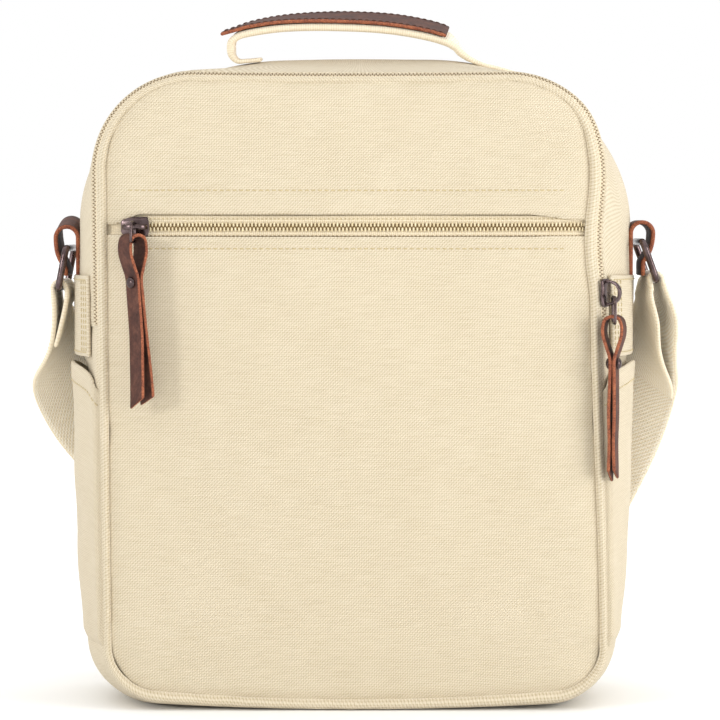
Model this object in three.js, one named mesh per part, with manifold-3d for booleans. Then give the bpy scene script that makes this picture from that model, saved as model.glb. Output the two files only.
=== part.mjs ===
// Canvas shoulder bag: a hollow body of sewn canvas with a front zip pocket and two side pockets,
// a grab handle with a leather grip, leather zip pulls and a webbing strap on metal rings.
// Millimetres, +Z up, the front towards -Y, the origin under the middle of the flat base.
import * as THREE from "three";
import { mergeVertices } from "three/addons/utils/BufferGeometryUtils.js";
import Module from "manifold-3d";

const wasm = await Module();
wasm.setup();

// Thicknesses and clearances
const CANVAS = 1.8;
const WEBBING = 2.0;
const LEATHER = 2.0;
const GAP = 0.3;
const SEAM = 1.55; // how far a panel's edge stays inside its seam

// The body
const SEAM_Z = 178; // the gusset joint on each side, where the main zip ends
const TUCK_Z = 210; // below this height the sides draw in
const PRESS = 5; // how far the side is pressed in behind its slip pocket

// Girths from the front seam to the back seam: each is a rounded outline at one depth.
// Corner sizes are the radius at the base and the width and height at the top. tuck narrows the base,
// sag lowers the middle of the top, bow lifts the ends of the base, lean is sideways for each mm of height
// and draw is how far the closed zip pulls the right side in.
const GIRTHS = [
  ["groove", -44.6, 112.8, 5.2, 291.6, 20, 42, 42, 0, 2.0, 6.0, -0.008, 6.0],
  ["crest", -46.8, 114.8, 2.7, 292.7, 22.5, 44, 44, 0, 2.0, 5.5, -0.008, 5.6],
  ["zip front", -44.5, 117.2, 0.5, 294.2, 25, 46, 46, 1, 2.0, 5.0, -0.008, 5.2],
  ["zip back", -39.5, 120.0, 0.2, 296.0, 28, 48, 48, 2, 1.5, 3.5, -0.008, 4.6],
  ["front quarter", -20.0, 127.5, 0.0, 299.6, 30, 88, 72, 5.5, 0.5, 0.0, 0.004, 2.0],
  ["middle", 5.0, 131.0, 0.0, 302.5, 30, 98, 76, 7, 0.0, 0.0, 0.006, 0],
  ["rear quarter", 30.0, 128.0, 0.0, 300.0, 30, 94, 72, 5.5, 0.0, 0.0, 0.006, 0],
  ["back turn", 43.0, 121.0, 2.0, 295.0, 26, 82, 64, 3, 0.0, 1.0, 0.006, 0],
  ["back seam", 46.5, 116.0, 6.0, 291.0, 20, 74, 58, 1, 0.0, 2.0, 0.006, 0],
].map(([name, y, half, base, top, baseR, topWide, topHigh, tuck, sag, bow, lean, draw]) => ({
  name, y, half, base, top, baseR, topWide, topHigh, tuck, sag, bow, lean, draw,
}));
// Heights between which the right side is drawn in, and the height, reach and share of the pocket zip's pull
const DRAWN = { from: 30, full: 200, ease: 255, to: 285, pull: 217, reach: 30, share: 0.4 };
const EDGE = { inner: 0.4, outer: 0.95 }; // the part of each half that is drawn in, as shares of its width
// How much flatter the rolled edge is along the top, and how far below the top that starts and is whole
const ROLL_FLAT = { by: 1.6, starts: 34, whole: 6 };
const FRONT = GIRTHS[0];
const BACK = GIRTHS[GIRTHS.length - 1];
// Steps in each zone of half an outline: base, base corner, low side, high side, top corner, top
const STEPS = [4, 4, 6, 4, 7, 5];

// The front and back panels stand out from their seams
const SHOULDER = { rise: 2.8, run: 4.0 };
const DOME = { front: 5.5, back: 4.0, middle: 148, reach: 144 };
const SLOT = { low: 218.5, high: 228.6 }; // the pocket zip's slot
// Dents and puckers of the front: place, width, height and depth
const DENTS = [
  { x: -103, z: 130, wide: 13, high: 7, depth: 1.8 },
  { x: -84, z: 172, wide: 10, high: 34, depth: 0.9 },
  { x: -107, z: 18, wide: 8, high: 10, depth: 1.8 },
  { x: 108, z: 158, wide: 9, high: 6, depth: 1.3 },
  { x: 109, z: 134, wide: 9, high: 6, depth: 1.2 },
  { x: 107, z: 24, wide: 9, high: 9, depth: 1.6 },
  { x: 0, z: 16, wide: 70, high: 7, depth: 1.0 },
];

// Sides: slip pockets, stitched bands, leather tabs and rings
const POCKET = { low: 30, mouthFront: 147, mouthRise: 13, from: 2.78, to: 7.2, bulge: 1.0 };
const BAND = { low: 164, high: 200.5, from: 3.2, to: 6.9, thick: 1.8 };
// Depth numbers at which the gusset and what lies on it turn
const GUSSET_ROWS = [3.5, 4, 4.5, 5, 5.5, 6];
const TAB = { wide: 26, y: 5, loopZ: 220.5, eye: 2.4, leftEye: 15, rightEye: 12 };
// A ring's upper bar stands off the tab's wall and over the narrow end of its eye
const RING = {
  wire: 1.6, halfWide: 21.8, drop: 19, corner: 3.5, leanRight: 20, leanLeft: 11, off: 2.0, over: 8.0,
};

// The strap's middle line from the right ring to the left one; face is the turn of its width from +Y
const STRAP = { wide: 38, lapRight: 58, lapLeft: 20, bulgeRight: 4, bulgeLeft: 1 };
const STRAP_WAY = [
  { x: 147.2, y: 6, z: 192, face: -2 },
  { x: 149.8, y: 9, z: 184, face: -7 },
  { x: 148.2, y: 15, z: 174, face: -16 },
  { x: 145.0, y: 26, z: 162, face: -33 },
  { x: 141.0, y: 37.5, z: 149, face: -51 },
  { x: 136.5, y: 45, z: 131, face: -60 },
  { x: 128.0, y: 52, z: 110, face: -59 },
  { x: 117.5, y: 60, z: 86, face: -51 },
  { x: 107.0, y: 70, z: 60, face: -36 },
  { x: 97.5, y: 80, z: 35, face: -16 },
  { x: 86.0, y: 86, z: 12, face: -5 },
  { x: 66.0, y: 88, z: 1.5, face: 0 },
  { x: 24.0, y: 88, z: 1.3, face: 0 },
  { x: -24.0, y: 88, z: 1.3, face: 0 },
  { x: -66.0, y: 88, z: 1.5, face: 0 },
  { x: -86.0, y: 86, z: 12, face: 5 },
  { x: -97.0, y: 79, z: 36, face: 16 },
  { x: -104.5, y: 71, z: 60, face: 34 },
  { x: -109.5, y: 63.5, z: 84, face: 41 },
  { x: -114.5, y: 57.5, z: 103, face: 45 },
  { x: -123.0, y: 52.5, z: 119, face: 51 },
  { x: -132.0, y: 46, z: 131, face: 58 },
  { x: -138.6, y: 38.5, z: 146, face: 51 },
  { x: -142.0, y: 27, z: 157, face: 34 },
  { x: -141.6, y: 15.5, z: 167, face: 15 },
  { x: -140.4, y: 7, z: 176.5, face: 2 },
  { x: -140.8, y: 5, z: 186, face: 0 },
];

// The handle's middle line from the left foot to the right one; roll lifts its far edge.
// It is doubled webbing, with one layer sewn down at each foot.
const HANDLE = { y: 5, wide: 26, thick: 3.4, foot: 1.8, gripWide: 28, gripFrom: 6, gripTo: 11 };
const HANDLE_FEET = { leftFlat: 1.5, leftWhole: 4, rightWhole: 13, rightFlat: 15.5 }; // as rows of the way
const HANDLE_WAY = [
  { x: -44, z: 302.8, roll: 4 },
  { x: -50.5, z: 302.2, roll: 4 },
  { x: -54.8, z: 302.2, roll: 4 },
  { x: -57.3, z: 304.6, roll: 4 },
  { x: -57.9, z: 308.2, roll: 4 },
  { x: -57.3, z: 311.6, roll: 5 },
  { x: -54.2, z: 314.4, roll: 6 },
  { x: -48.5, z: 316.2, roll: 7 },
  { x: -33, z: 318.8, roll: 9 },
  { x: -6, z: 319.8, roll: 12 },
  { x: 22, z: 318.0, roll: 13 },
  { x: 43, z: 313.2, roll: 13 },
  { x: 47.8, z: 310.0, roll: 11 },
  { x: 50.6, z: 306.5, roll: 7 },
  { x: 53.8, z: 303.8, roll: 4 },
  { x: 61, z: 300.6, roll: 4 },
  { x: 70, z: 298.3, roll: 4 },
  { x: 80, z: 295.1, roll: 4 },
  { x: 89, z: 290.4, roll: 4 },
];
// The grip's left end stands out past the webbing, which turns down under it
const GRIP_END = { x: -61.4, z: 312.2, roll: 5 };

// Zips, sliders and pulls
const MAIN_CHAIN = { half: 2.3, crown: 1.9, back: -1.4, shoulder: -0.4, top: 0.5 };
const POCKET_CHAIN = { tape: 8.0, back: -0.9, half: 2.5, crown: 2.2, top: 1.4 };
const SLIDER = { long: 13, wide: 9, plate: 1.2, rail: 1.0, bridgeWide: 2.4, bridge: 1.4, reach: 4.6 };
const PULL = {
  wide: 9, eye: 3.4, eyeTop: 2.2, pinch: -15.5, rivet: -18.5, slit: -42, ringHalf: 7.7, wire: 0.65,
};
// splay is how far the left and right split ends stand from the middle at their tips
const POCKET_PULL = {
  x: -99.5, yaw: 3, skew: 27, length: 74, splay: [2.4, 1.4], bridge: 3.6, ringTop: 2.2, hinge: -6.8,
};
const MAIN_PULL = {
  z: 193.5, skew: -15, length: 71, splay: [0.8, 0.5], bridge: 6.0, ringTop: -1.8, hinge: -13.8,
  through: 3.2, ringBack: 5.0,
};

const vec = (x, y, z) => new THREE.Vector3(x, y, z);
const rad = THREE.MathUtils.degToRad;
const spread = (from, to, steps) =>
  Array.from({ length: steps + 1 }, (_, i) => from + ((to - from) * i) / steps);
const bell = (t) => Math.max(0, 1 - t * t) ** 2;
const mix = THREE.MathUtils.lerp;
const ramp = (value, from, to) => {
  const t = THREE.MathUtils.clamp((value - from) / (to - from), 0, 1);
  return t * t * (3 - 2 * t);
};

// Solids from geometry and back, for joining and cutting
function toSolid(geometry) {
  const bare = geometry.clone();
  bare.deleteAttribute("normal");
  bare.deleteAttribute("uv");
  const merged = mergeVertices(bare, 1e-4);
  return new wasm.Manifold(
    new wasm.Mesh({
      numProp: 3,
      vertProperties: Float32Array.from(merged.attributes.position.array),
      triVerts: Uint32Array.from(merged.index.array),
    }),
  );
}

function toGeometry(solid) {
  const mesh = solid.getMesh();
  const geometry = new THREE.BufferGeometry();
  geometry.setAttribute("position", new THREE.BufferAttribute(Float32Array.from(mesh.vertProperties), 3));
  geometry.setIndex(Array.from(mesh.triVerts));
  return geometry;
}

// Geometry from points and triangles, turned so that its faces look out
function facingOut(points, index) {
  let volume = 0;
  for (let i = 0; i < index.length; i += 3) {
    const [a, b, c] = [points[index[i]], points[index[i + 1]], points[index[i + 2]]];
    volume += a.dot(b.clone().cross(c));
  }
  if (volume < 0) index.reverse();
  const geometry = new THREE.BufferGeometry().setFromPoints(points);
  geometry.setIndex(index);
  return geometry;
}

// A closed solid through matching sections, capped at both ends unless it closes on itself
function loft(sections, caps, closed = false) {
  const count = sections[0].length;
  const index = [];
  const spans = closed ? sections.length : sections.length - 1;
  for (let i = 0; i < spans; i++) {
    const here = i * count;
    const next = ((i + 1) % sections.length) * count;
    for (let k = 0; k < count; k++) {
      const n = (k + 1) % count;
      index.push(here + k, next + k, next + n, here + k, next + n, here + n);
    }
  }
  if (!closed) {
    const last = (sections.length - 1) * count;
    for (const [a, b, c] of caps) index.push(a, b, c, last + a, last + c, last + b);
  }
  return facingOut(sections.flat(), index);
}

// The outward direction of a surface at (u, v), and the point moved along it
function normalAt(surface, u, v, turn) {
  const step = 1e-3;
  const du = surface(u + step, v).sub(surface(u - step, v));
  const dv = surface(u, v + step).sub(surface(u, v - step));
  return du.cross(dv).normalize().multiplyScalar(turn);
}

const lifted = (surface, u, v, turn, height) =>
  surface(u, v).addScaledVector(normalAt(surface, u, v, turn), height);

// A sewn wall: a grid on a surface, from one height above it to another
function wall({ surface, across, along, outer = () => 0, thick = CANVAS, turn = 1, closed = false }) {
  const sections = along.map((v) => {
    const top = across.map((u) => lifted(surface, u, v, turn, outer(u, v)));
    const bottom = across.map((u) => lifted(surface, u, v, turn, outer(u, v) - thick));
    return [...top, ...bottom.reverse()];
  });
  const last = 2 * across.length - 1;
  const caps = [];
  for (let k = 0; k + 1 < across.length; k++) {
    caps.push([k, k + 1, last - k - 1], [k, last - k - 1, last - k]);
  }
  return loft(sections, caps, closed);
}

// A strip: one flat profile, [across, height] pairs in order, carried along a list of frames
function strip(frames, profile, closed = false) {
  const sections = frames.map((f) =>
    profile.map(([w, h]) =>
      f.centre.clone().addScaledVector(f.across, w).addScaledVector(f.normal, h * (f.thin ?? 1)),
    ),
  );
  const flat = profile.map(([w, h]) => new THREE.Vector2(w, h));
  const caps = THREE.ShapeUtils.triangulateShape(flat, []);
  const turned = THREE.ShapeUtils.isClockWise(flat) ? caps.map((c) => [...c].reverse()) : caps;
  return loft(sections, turned, closed);
}

const slab = (wide, thick) => [
  [-wide / 2, -thick / 2],
  [wide / 2, -thick / 2],
  [wide / 2, thick / 2],
  [-wide / 2, thick / 2],
];

// Body surfaces

// One girth at any depth number, smooth through the table
function girth(v) {
  const i = THREE.MathUtils.clamp(Math.floor(v), 0, GIRTHS.length - 2);
  const t = v - i;
  const row = {};
  for (const key of Object.keys(FRONT)) {
    if (key === "name") continue;
    const at = (k) => GIRTHS[THREE.MathUtils.clamp(i + k, 0, GIRTHS.length - 1)][key];
    const [a, b, c, d] = [-1, 0, 1, 2].map(at);
    row[key] = b + 0.5 * t * (c - a + t * (2 * a - 5 * b + 4 * c - d + t * (3 * (b - c) + d - a)));
  }
  for (const key of ["base", "sag", "bow"]) row[key] = Math.max(0, row[key]);
  return row;
}

// The cloth's settling: the base draws in and bows, the top sags, the whole leans
function settle(row, x, z) {
  const across = x / row.half;
  const tuck = row.tuck * THREE.MathUtils.clamp((TUCK_Z - z) / TUCK_Z, 0, 1) ** 2;
  const lift = row.bow * across * across * ramp(z, 60, 0);
  const sag = row.sag * Math.max(0, 1 - across * across) * ramp(z, row.top - 60, row.top);
  const lean = row.lean * (z - 150);
  const long = ramp(z, DRAWN.from, DRAWN.full) * ramp(z, DRAWN.to, DRAWN.ease);
  const near = bell((z - DRAWN.pull) / DRAWN.reach);
  const drawn = row.draw * ramp(across, EDGE.inner, EDGE.outer) * mix(long, near, DRAWN.share);
  return [x - across * tuck + lean - drawn, z + lift - sag];
}

// A point of the outline: s runs 0 to 6 from the base over the right to the top, 6 to 12 down the left
function outlinePoint(row, s) {
  const around = ((s % 12) + 12) % 12;
  const side = around > 6 ? -1 : 1;
  const h = around > 6 ? 12 - around : around;
  const zone = Math.min(Math.floor(h), 5);
  const t = h - zone;
  const { half, base, top, baseR, topWide, topHigh } = row;
  const turn = (Math.PI / 2) * t;
  const [x, z] = [
    [mix(0, half - baseR, t), base],
    [half - baseR + baseR * Math.sin(turn), base + baseR - baseR * Math.cos(turn)],
    [half, mix(base + baseR, SEAM_Z, t)],
    [half, mix(SEAM_Z, top - topHigh, t)],
    [half - topWide + topWide * Math.cos(turn), top - topHigh + topHigh * Math.sin(turn)],
    [mix(half - topWide, 0, t), top],
  ][zone];
  return [side * x, z];
}

const pressedIn = (v, z) => PRESS * bell((v - 5) / 2.3) * ramp(z, 45, 90) * ramp(z, 167.5, 157);

function bodyPoint(v, s) {
  const row = girth(v);
  const [x, z] = settle(row, ...outlinePoint(row, s));
  const flat = ROLL_FLAT.by * bell(v - 1) * ramp(z, row.top - ROLL_FLAT.starts, row.top - ROLL_FLAT.whole);
  return vec(x, row.y + flat, z);
}

function pressedPoint(v, s) {
  const point = bodyPoint(v, s);
  point.x -= Math.sign(point.x) * pressedIn(v, point.z) * ramp(Math.abs(point.x), 90, 115);
  return point;
}

// A point of the straight part of a side by its height
function sidePoint(side, v, z) {
  const row = girth(v);
  return vec(settle(row, side * row.half, z)[0], row.y, z);
}

// The stations of an outline between two places on it
function stations(from, to) {
  const list = [from];
  for (let k = Math.floor(from); k < Math.ceil(to); k++) {
    const zone = ((k % 12) + 12) % 12;
    for (const s of spread(k, k + 1, STEPS[zone < 6 ? zone : 11 - zone])) {
      if (s > list[list.length - 1] + 0.02 && s < to - 0.02) list.push(s);
    }
  }
  return [...list, to];
}

// Half the width of a rounded outline at a height, and about the distance inside it
function edgeAt(row, z) {
  const low = Math.max(0, row.base + row.baseR - z) / row.baseR;
  const high = Math.max(0, z - row.top + row.topHigh) / row.topHigh;
  const wide = low > 0 ? row.baseR : row.topWide;
  return row.half - wide + wide * Math.sqrt(Math.max(0, 1 - Math.max(low, high) ** 2));
}

function insetFrom(row, x, z) {
  const upper = z > (row.base + row.top) / 2;
  const [wide, high] = upper ? [row.topWide, row.topHigh] : [row.baseR, row.baseR];
  const qx = Math.abs(x) - (row.half - wide);
  const qz = upper ? z - (row.top - high) : row.base + high - z;
  if (qx > 0 && qz > 0) return Math.max(0, 1 - Math.hypot(qx / wide, qz / high)) * Math.min(wide, high);
  return Math.max(0, Math.min(wide - qx, high - qz));
}

// How far a panel stands out from its seam
function standOut(row, dome, x, z) {
  const u = x / row.half;
  const w = (z - DOME.middle) / DOME.reach;
  const shoulder = SHOULDER.rise * (1 - Math.exp(-insetFrom(row, x, z) / SHOULDER.run));
  return shoulder + dome * Math.max(0, 1 - u * u) * Math.max(0, 1 - w * w);
}

function frontPoint(x, z) {
  let out = standOut(FRONT, DOME.front, x, z);
  for (const d of DENTS) out -= d.depth * Math.exp(-(((x - d.x) / d.wide) ** 2) - ((z - d.z) / d.high) ** 2);
  const [px, pz] = settle(FRONT, x, z);
  return vec(px, FRONT.y - out, pz);
}

function backPoint(x, z) {
  const [px, pz] = settle(BACK, x, z);
  return vec(px, BACK.y + standOut(BACK, DOME.back, x, z), pz);
}

// Columns of a panel, closer towards the seams
const PANEL_COLUMNS = [0.25, 0.5, 0.7, 0.84, 0.92, 0.965, 1];
const panelColumns = [...PANEL_COLUMNS.map((u) => -u).reverse(), 0, ...PANEL_COLUMNS];

// Heights of a panel's rows: by angle round a corner, evenly between
const cornerRows = (edge, radius, inwards) =>
  [0, 15, 30, 45, 65, 90].map((a) => edge + inwards * radius * (1 - Math.cos(rad(a))));

function panel(row, point, rows, turn, columns = panelColumns) {
  return wall({
    surface: (u, z) => point(u * (edgeAt(row, z) - SEAM), z),
    across: columns,
    along: rows,
    turn,
  });
}

const group = new THREE.Group();
group.name = "shoulder_bag";

const COLOURS = { canvas: 0xe9dcc0, webbing: 0xdccfae, tape: 0xcdb98f, leather: 0x5b3b2e, metal: 0x2c2a29 };

function add(name, geometry, colour, parent = group) {
  const soft = colour !== "metal";
  const material = new THREE.MeshStandardMaterial({
    color: COLOURS[colour],
    roughness: soft ? 0.85 : 0.35,
    metalness: soft ? 0 : 1,
  });
  material.name = `${name}_${colour}`;
  const mesh = new THREE.Mesh(geometry, material);
  mesh.name = name;
  parent.add(mesh);
  return mesh;
}

// Front and back panels
const lowRows = [
  ...cornerRows(FRONT.base + SEAM, FRONT.baseR, 1),
  ...spread(FRONT.base + SEAM + FRONT.baseR, SLOT.low, 15).slice(1),
];
const topEdge = FRONT.top - SEAM;
const highRows = [
  ...spread(SLOT.high, topEdge - FRONT.topHigh, 2).slice(0, -1),
  ...cornerRows(topEdge, FRONT.topHigh, -1).reverse(),
];
add("front_panel_lower", panel(FRONT, frontPoint, lowRows, 1), "canvas");
add("front_panel_upper", panel(FRONT, frontPoint, highRows, 1), "canvas");

const backRows = [
  ...cornerRows(BACK.base + SEAM, BACK.baseR, 1),
  ...spread(BACK.base + SEAM + BACK.baseR, BACK.top - SEAM - BACK.topHigh, 6).slice(1, -1),
  ...cornerRows(BACK.top - SEAM, BACK.topHigh, -1).reverse(),
];
const backColumns = panelColumns.filter((_, i) => i % 2 === 0 || i === 7);
add("back_panel", panel(BACK, backPoint, backRows, -1, backColumns), "canvas");

// The rolled edge strip, and the gusset above and below the side joints
const CUT = 0.03; // half the gap between two girths, as a share of their spacing
add(
  "front_edge_roll",
  wall({
    surface: bodyPoint,
    across: [CUT, 0.5, 1, 1.5, 2 - CUT],
    along: stations(0, 12).slice(0, -1),
    thick: 1.0,
    closed: true,
  }),
  "canvas",
);
add(
  "upper_gusset",
  wall({
    surface: bodyPoint,
    across: [3 + 2 * CUT, ...GUSSET_ROWS, 7, 8 - 0.08],
    along: stations(3.003, 8.997),
  }),
  "canvas",
);
add(
  "lower_gusset",
  wall({
    surface: pressedPoint,
    across: [2 + CUT, 3, ...GUSSET_ROWS, 7, 8 - 0.08],
    along: [9.003, 9.04, 9.08, ...stations(9.15, 14.85), 14.92, 14.96, 14.997],
  }),
  "canvas",
);

// The zips
// The frame of the main zip at a place on the outline, between the girths before and behind it
function mainZipFrame(s) {
  const between = (u, at) => bodyPoint(2, at).lerp(bodyPoint(3, at), u);
  return {
    centre: between(0.5, s),
    across: between(1, s).sub(between(0, s)).normalize(),
    normal: normalAt(between, 0.5, s, 1),
  };
}
const mainFrames = stations(3.006, 8.994).map(mainZipFrame);
const mainProfile = [
  [-MAIN_CHAIN.half, MAIN_CHAIN.back],
  [MAIN_CHAIN.half, MAIN_CHAIN.back],
  [MAIN_CHAIN.half, MAIN_CHAIN.shoulder],
  [MAIN_CHAIN.crown, MAIN_CHAIN.top],
  [-MAIN_CHAIN.crown, MAIN_CHAIN.top],
  [-MAIN_CHAIN.half, MAIN_CHAIN.shoulder],
];
add("main_zip", strip(mainFrames, mainProfile), "tape");

// The frame of the pocket zip's tape at x, its height measured out from the tape's face
function pocketZipFrame(x) {
  const z = (SLOT.low + SLOT.high) / 2;
  const normal = normalAt(frontPoint, x, z, 1);
  return {
    centre: frontPoint(x, z).addScaledVector(normal, -CANVAS - GAP),
    across: frontPoint(x, z + 1).sub(frontPoint(x, z - 1)).normalize(),
    normal,
  };
}
const pocketProfile = [
  [-POCKET_CHAIN.tape, POCKET_CHAIN.back],
  [POCKET_CHAIN.tape, POCKET_CHAIN.back],
  [POCKET_CHAIN.tape, 0],
  [POCKET_CHAIN.half, 0],
  [POCKET_CHAIN.crown, POCKET_CHAIN.top],
  [-POCKET_CHAIN.crown, POCKET_CHAIN.top],
  [-POCKET_CHAIN.half, 0],
  [-POCKET_CHAIN.tape, 0],
];
const pocketZipXs = panelColumns.map((u) => u * (FRONT.half - 1.5));
add("pocket_zip", strip(pocketZipXs.map(pocketZipFrame), pocketProfile), "tape");

// Side pockets and stitched bands
const mouthAt = (v) => {
  const t = (v - POCKET.from) / (POCKET.to - POCKET.from);
  return POCKET.mouthFront + POCKET.mouthRise * Math.sin(Math.PI * t);
};

function sidePocket(side) {
  const middle = (POCKET.from + POCKET.to) / 2;
  const reach = (POCKET.to - POCKET.from) / 2;
  return wall({
    surface: (v, t) => sidePoint(side, v, mix(POCKET.low, mouthAt(v), t)),
    across: [POCKET.from, 3, ...GUSSET_ROWS, 7, POCKET.to],
    along: spread(0, 1, 7),
    outer: (v, t) => GAP + CANVAS + POCKET.bulge * bell((v - middle) / reach) * ramp(t, 0, 0.35),
    turn: side,
  });
}

function sideBand(side) {
  return wall({
    surface: (v, z) => sidePoint(side, v, z),
    across: [BAND.from, ...GUSSET_ROWS, BAND.to],
    along: spread(BAND.low, BAND.high, 4),
    outer: () => GAP + BAND.thick,
    thick: BAND.thick,
    turn: side,
  });
}

// A leather tab folded into a loop, drawn outwards from the side and upwards
function tabShape(eyeLength) {
  const { loopZ, eye } = TAB;
  const outer = eye + LEATHER;
  const middle = GAP + outer;
  const low = BAND.high + GAP;
  const tip = loopZ - eyeLength;
  const shape = new THREE.Shape();
  shape.moveTo(GAP, low);
  shape.lineTo(GAP + 2 * LEATHER, low);
  shape.lineTo(GAP + 2 * LEATHER, tip - 1.5);
  shape.quadraticCurveTo(middle + outer - 0.6, loopZ - 0.73 * eyeLength, middle + outer, loopZ);
  shape.absarc(middle, loopZ, outer, 0, Math.PI, false);
  shape.lineTo(GAP, low);
  const hole = new THREE.Path();
  hole.moveTo(GAP + LEATHER, tip);
  hole.quadraticCurveTo(middle + eye - 0.6, loopZ - 0.7 * eyeLength, middle + eye, loopZ);
  hole.absarc(middle, loopZ, eye, 0, Math.PI, false);
  hole.lineTo(GAP + LEATHER, tip);
  shape.holes.push(hole);
  return shape;
}

// A rounded loop of wire in the XY plane
function wireLoop(halfX, halfY, corner, wire, sides = 8) {
  const frames = [];
  [[1, -1], [1, 1], [-1, 1], [-1, -1]].forEach(([cx, cy], quarter) => {
    for (const a of spread(-90, 0, 4)) {
      const turn = rad(a + 90 * quarter);
      const out = vec(Math.cos(turn), Math.sin(turn), 0);
      const centre = vec(cx * (halfX - corner), cy * (halfY - corner), 0).addScaledVector(out, corner);
      frames.push({ centre, across: out, normal: vec(0, 0, 1) });
    }
  });
  const profile = Array.from({ length: sides }, (_, i) => {
    const turn = (2 * Math.PI * (i + 0.5)) / sides;
    return [wire * Math.cos(turn), wire * Math.sin(turn)];
  });
  return strip(frames, profile, true);
}

// Set a mesh at a place with its local X and Y along two directions
function place(mesh, at, xAxis, yAxis) {
  const basis = new THREE.Matrix4().makeBasis(xAxis, yAxis, xAxis.clone().cross(yAxis));
  mesh.quaternion.setFromRotationMatrix(basis);
  mesh.position.copy(at);
}

// A ring's upper bar lies low in its tab's eye; the ring leans outwards
function ringBars(side, lean, eyeLength) {
  const face = sidePoint(side, 5, TAB.loopZ).x;
  const upper = vec(face + side * (GAP + LEATHER + RING.off), TAB.y, TAB.loopZ - eyeLength + RING.over);
  const down = vec(side * Math.sin(rad(lean)), 0, -Math.cos(rad(lean)));
  return { upper, down, lower: upper.clone().addScaledVector(down, RING.drop) };
}

const bars = {
  left: ringBars(-1, RING.leanLeft, TAB.leftEye),
  right: ringBars(1, RING.leanRight, TAB.rightEye),
};

for (const [name, side, eyeLength] of [["left", -1, TAB.leftEye], ["right", 1, TAB.rightEye]]) {
  add(`${name}_side_pocket`, sidePocket(side), "canvas");
  add(`${name}_side_band`, sideBand(side), "webbing");

  const extrude = { depth: TAB.wide, bevelEnabled: false, curveSegments: 6 };
  const tab = add(`${name}_tab`, new THREE.ExtrudeGeometry(tabShape(eyeLength), extrude), "leather");
  const start = vec(sidePoint(side, 5, TAB.loopZ).x, TAB.y + (side * TAB.wide) / 2, 0);
  place(tab, start, vec(side, 0, 0), vec(0, 0, 1));

  const { upper, down } = bars[name];
  const wire = wireLoop(RING.halfWide, RING.drop / 2, RING.corner, RING.wire);
  const ring = add(`${name}_ring`, wire, "metal");
  place(ring, upper.clone().addScaledVector(down, RING.drop / 2), vec(0, 1, 0), down);
}

// The strap: down from the right ring, flat along the floor behind the bag and up to the left ring.
// Each end goes over its ring's lower bar and comes back down to lie against the strap.
function strapFrames() {
  const turnR = RING.wire + 1.5 * GAP + WEBBING / 2;
  const start = { ...bars.right.lower.clone().add(vec(turnR, 0, 0)), face: 0 };
  const end = { ...bars.left.lower.clone().add(vec(-turnR, 0, 0)), face: 0 };
  const way = [start, ...STRAP_WAY, end];
  const curve = new THREE.CatmullRomCurve3(way.map((p) => vec(p.x, p.y, p.z)), false, "centripetal");
  const spans = way.length - 1;
  const run = spread(0, 1, spans * 3).map((t) => {
    const i = Math.min(Math.floor(t * spans + 1e-6), spans - 1);
    const face = rad(mix(way[i].face, way[i + 1].face, t * spans - i));
    const along = curve.getTangent(t);
    const across = vec(Math.sin(face), Math.cos(face), 0);
    across.addScaledVector(along, -across.dot(along)).normalize();
    const centre = curve.getPoint(t);
    centre.z = Math.max(centre.z, WEBBING / 2 + GAP);
    return { centre, across, normal: along.clone().cross(across) };
  });
  const over = (bar, from, to) =>
    spread(from, to, 8).slice(1, -1).map((a) => {
      const out = vec(Math.cos(rad(a)), 0, Math.sin(rad(a)));
      return { centre: bar.lower.clone().addScaledVector(out, turnR), across: vec(0, 1, 0), normal: out };
    });
  // The lap behind a run of frames, bulging and then closing from the ring's width to one thickness
  const lap = (frames, length, bulge) => {
    const list = [];
    let gone = 0;
    for (let i = 0; i < frames.length && gone < length; i++) {
      if (i > 0) gone += frames[i].centre.distanceTo(frames[i - 1].centre);
      const closed = mix(2 * turnR, WEBBING + GAP, ramp(gone, 0, length * 0.85));
      const apart = closed + bulge * Math.sin((Math.PI * Math.min(gone, length)) / length);
      list.push({ ...frames[i], centre: frames[i].centre.clone().addScaledVector(frames[i].normal, -apart) });
    }
    return list;
  };
  const flip = (f) => ({ centre: f.centre, across: f.across, normal: f.normal.clone().negate() });
  const rightLap = lap(run, STRAP.lapRight, STRAP.bulgeRight).reverse().map(flip);
  const leftLap = lap([...run].reverse(), STRAP.lapLeft, STRAP.bulgeLeft).map(flip);
  return [...rightLap, ...over(bars.right, 180, 0), ...run, ...over(bars.left, 180, 0), ...leftLap];
}
add("shoulder_strap", strip(strapFrames(), slab(STRAP.wide, WEBBING)), "webbing");

// The handle and its leather grip
function handleFrames(way, rows, perRow) {
  const curve = new THREE.CatmullRomCurve3(way.map((p) => vec(p.x, HANDLE.y, p.z)), false, "centripetal");
  const spans = way.length - 1;
  return spread(0, rows, rows * perRow).map((k) => {
    const i = Math.min(Math.floor(k + 1e-6), spans - 1);
    const roll = rad(mix(way[i].roll, way[i + 1].roll, k - i));
    const along = curve.getTangent(k / spans);
    const across = vec(0, Math.cos(roll), Math.sin(roll));
    across.addScaledVector(along, -across.dot(along)).normalize();
    return { centre: curve.getPoint(k / spans), across, normal: along.clone().cross(across) };
  });
}
const webbingFrames = handleFrames(HANDLE_WAY, HANDLE_WAY.length - 1, 2);
webbingFrames.forEach((f, i) => {
  const { leftFlat, leftWhole, rightWhole, rightFlat } = HANDLE_FEET;
  const doubled = ramp(i / 2, leftFlat, leftWhole) * ramp(i / 2, rightFlat, rightWhole);
  f.thin = mix(HANDLE.foot / HANDLE.thick, 1, doubled);
});
add("handle_webbing", strip(webbingFrames, slab(HANDLE.wide, HANDLE.thick)), "webbing");
const gripWay = [GRIP_END, ...HANDLE_WAY.slice(HANDLE.gripFrom)];
const gripFrames = handleFrames(gripWay, HANDLE.gripTo - HANDLE.gripFrom + 1, 3);
const gripRise = HANDLE.thick / 2 + 2 * GAP + LEATHER / 2;
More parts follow.
